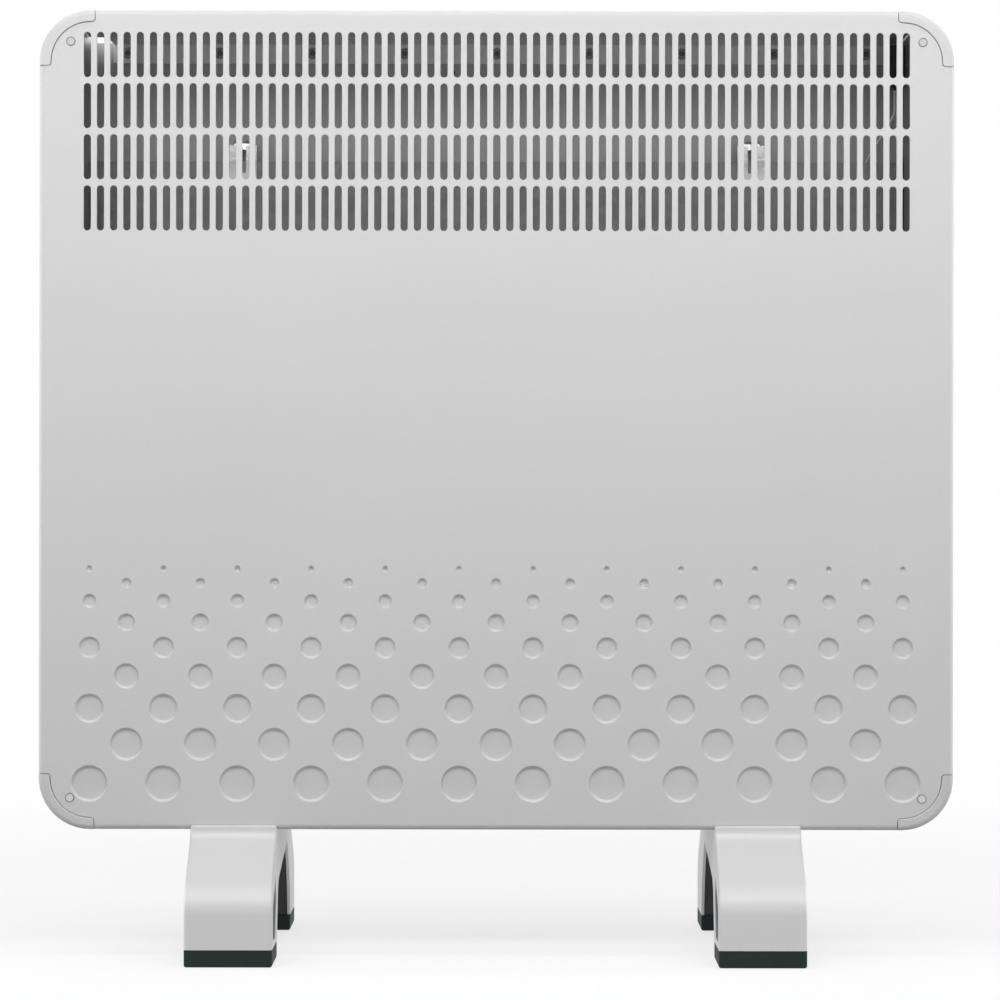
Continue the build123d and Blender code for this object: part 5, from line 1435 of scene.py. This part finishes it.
def floor_material():
    """A pale floor that keeps the shadow near the heater and fades to plain white away from it."""
    made = bpy.data.materials.new("stage_floor")
    made.use_nodes = True
    tree = made.node_tree
    seen = camera_white(tree, 0.0)
    tone = node(tree, "MapRange", {"To Min": FLOOR_SHADE, "To Max": FLOOR_PALE, "Value": seen}).outputs["Result"]
    pale = feed(tree.nodes["Principled BSDF"], {"Base Color": tone, "Roughness": 0.95})
    place = node(tree, "TexCoord").outputs["Object"]
    away = node(tree, "VectorMath", {0: place}, operation="LENGTH").outputs["Value"]
    reach = {"From Min": FADE_NEAR, "From Max": FADE_FAR, "To Min": FADE_LEAST, "To Max": 1.0, "Value": away}
    fade = node(tree, "MapRange", reach, interpolation_type="SMOOTHSTEP").outputs["Result"]
    share = sum_of(tree, "MULTIPLY", seen, fade)
    mirrored = sum_of(tree, "MAXIMUM", share, node(tree, "LightPath").outputs["Is Glossy Ray"])
    white = node(tree, "Emission").outputs["Emission"]
    mixed = node(tree, "MixShader", {"Fac": mirrored, 1: pale.outputs["BSDF"], 2: white})
    feed(tree.nodes["Material Output"], {"Surface": mixed.outputs["Shader"]})
    return made


def area_light(name, place, target, width, power, height, glossy, diffuse):
    """A soft rectangular lamp aimed at a point. A lamp can be left out of reflections, or light them alone."""
    data = bpy.data.lights.new(name, "AREA")
    data.shape = "RECTANGLE"
    data.size, data.size_y = width, height
    data.energy = power
    lamp = bpy.data.objects.new(name, data)
    lamp.location = place
    lamp.rotation_euler = (Vector(target) - Vector(place)).to_track_quat("-Z", "Y").to_euler()
    lamp.visible_glossy, lamp.visible_diffuse = glossy, diffuse
    bpy.context.scene.collection.objects.link(lamp)


class HEATER_OT_stage(bpy.types.Operator):
    """Sets up the floor, the soft lamps and the camera"""

    bl_idname = "heater.stage"
    bl_label = "Stage"

    def execute(self, context):
        scene = context.scene
        scene.view_settings.view_transform = "Standard"
        floor = bpy.data.meshes.new("floor")
        corners = [(x * FLOOR_REACH, y * FLOOR_REACH, 0) for x, y in ((-1, -1), (1, -1), (1, 1), (-1, 1))]
        floor.from_pydata(corners, [], [(0, 1, 2, 3)])
        ground = bpy.data.objects.new("floor", floor)
        scene.collection.objects.link(ground)
        ground.location.z = -FLOOR_DROP
        floor.materials.append(floor_material())
        scene.world = world = bpy.data.worlds.new("studio")
        world.use_nodes = True
        tree = world.node_tree
        feed(tree.nodes["Background"], {"Strength": camera_white(tree, WORLD_LIGHT), "Color": (1, 1, 1, 1)})
        for lamp in LAMPS:
            area_light(*lamp)
        camera = bpy.data.cameras.new("camera")
        camera.sensor_width = CAMERA_SENSOR
        camera.lens = CAMERA_LENS
        camera.clip_end = CAMERA_FAR
        eye = bpy.data.objects.new("camera", camera)
        eye.location = CAMERA_PLACE
        eye.rotation_euler = (math.pi / 2, math.radians(CAMERA_ROLL), 0)
        scene.collection.objects.link(eye)
        scene.camera = eye
        return {"FINISHED"}


# ---- add-on ---------------------------------------------------------------------------


class HEATER_PT_sidebar(bpy.types.Panel):
    """Lists the heater's sizes, colours and steps"""

    bl_label = "Panel heater"
    bl_idname = "HEATER_PT_sidebar"
    bl_space_type = "VIEW_3D"
    bl_region_type = "UI"
    bl_category = "Heater"

    def draw(self, context):
        for group in (context.scene.heater_sizes, context.scene.heater_colours):
            for name in group.bl_rna.properties.keys():
                if name not in ("rna_type", "name"):
                    self.layout.prop(group, name)
        for step in STEPS:
            self.layout.operator(step.bl_idname)


STEPS = [
    HEATER_OT_panel, HEATER_OT_caps, HEATER_OT_feet, HEATER_OT_fasteners, HEATER_OT_duct, HEATER_OT_controls,
    HEATER_OT_back, HEATER_OT_finishes, HEATER_OT_stage,
]
CLASSES = [HeaterSizes, HeaterColours, HEATER_PT_sidebar] + STEPS


def register():
    """Adds the classes, and the sizes and colours of each scene."""
    for item in CLASSES:
        bpy.utils.register_class(item)
    bpy.types.Scene.heater_sizes = PointerProperty(type=HeaterSizes)
    bpy.types.Scene.heater_colours = PointerProperty(type=HeaterColours)


def unregister():
    """Takes away what register adds, in the opposite order."""
    del bpy.types.Scene.heater_sizes
    del bpy.types.Scene.heater_colours
    for item in reversed(CLASSES):
        bpy.utils.unregister_class(item)


def main():
    """Registers the tools and makes every piece in order."""
    register()
    for step in STEPS:
        group, name = step.bl_idname.split(".")
        getattr(getattr(bpy.ops, group), name)()


if __name__ == "__main__":
    main()
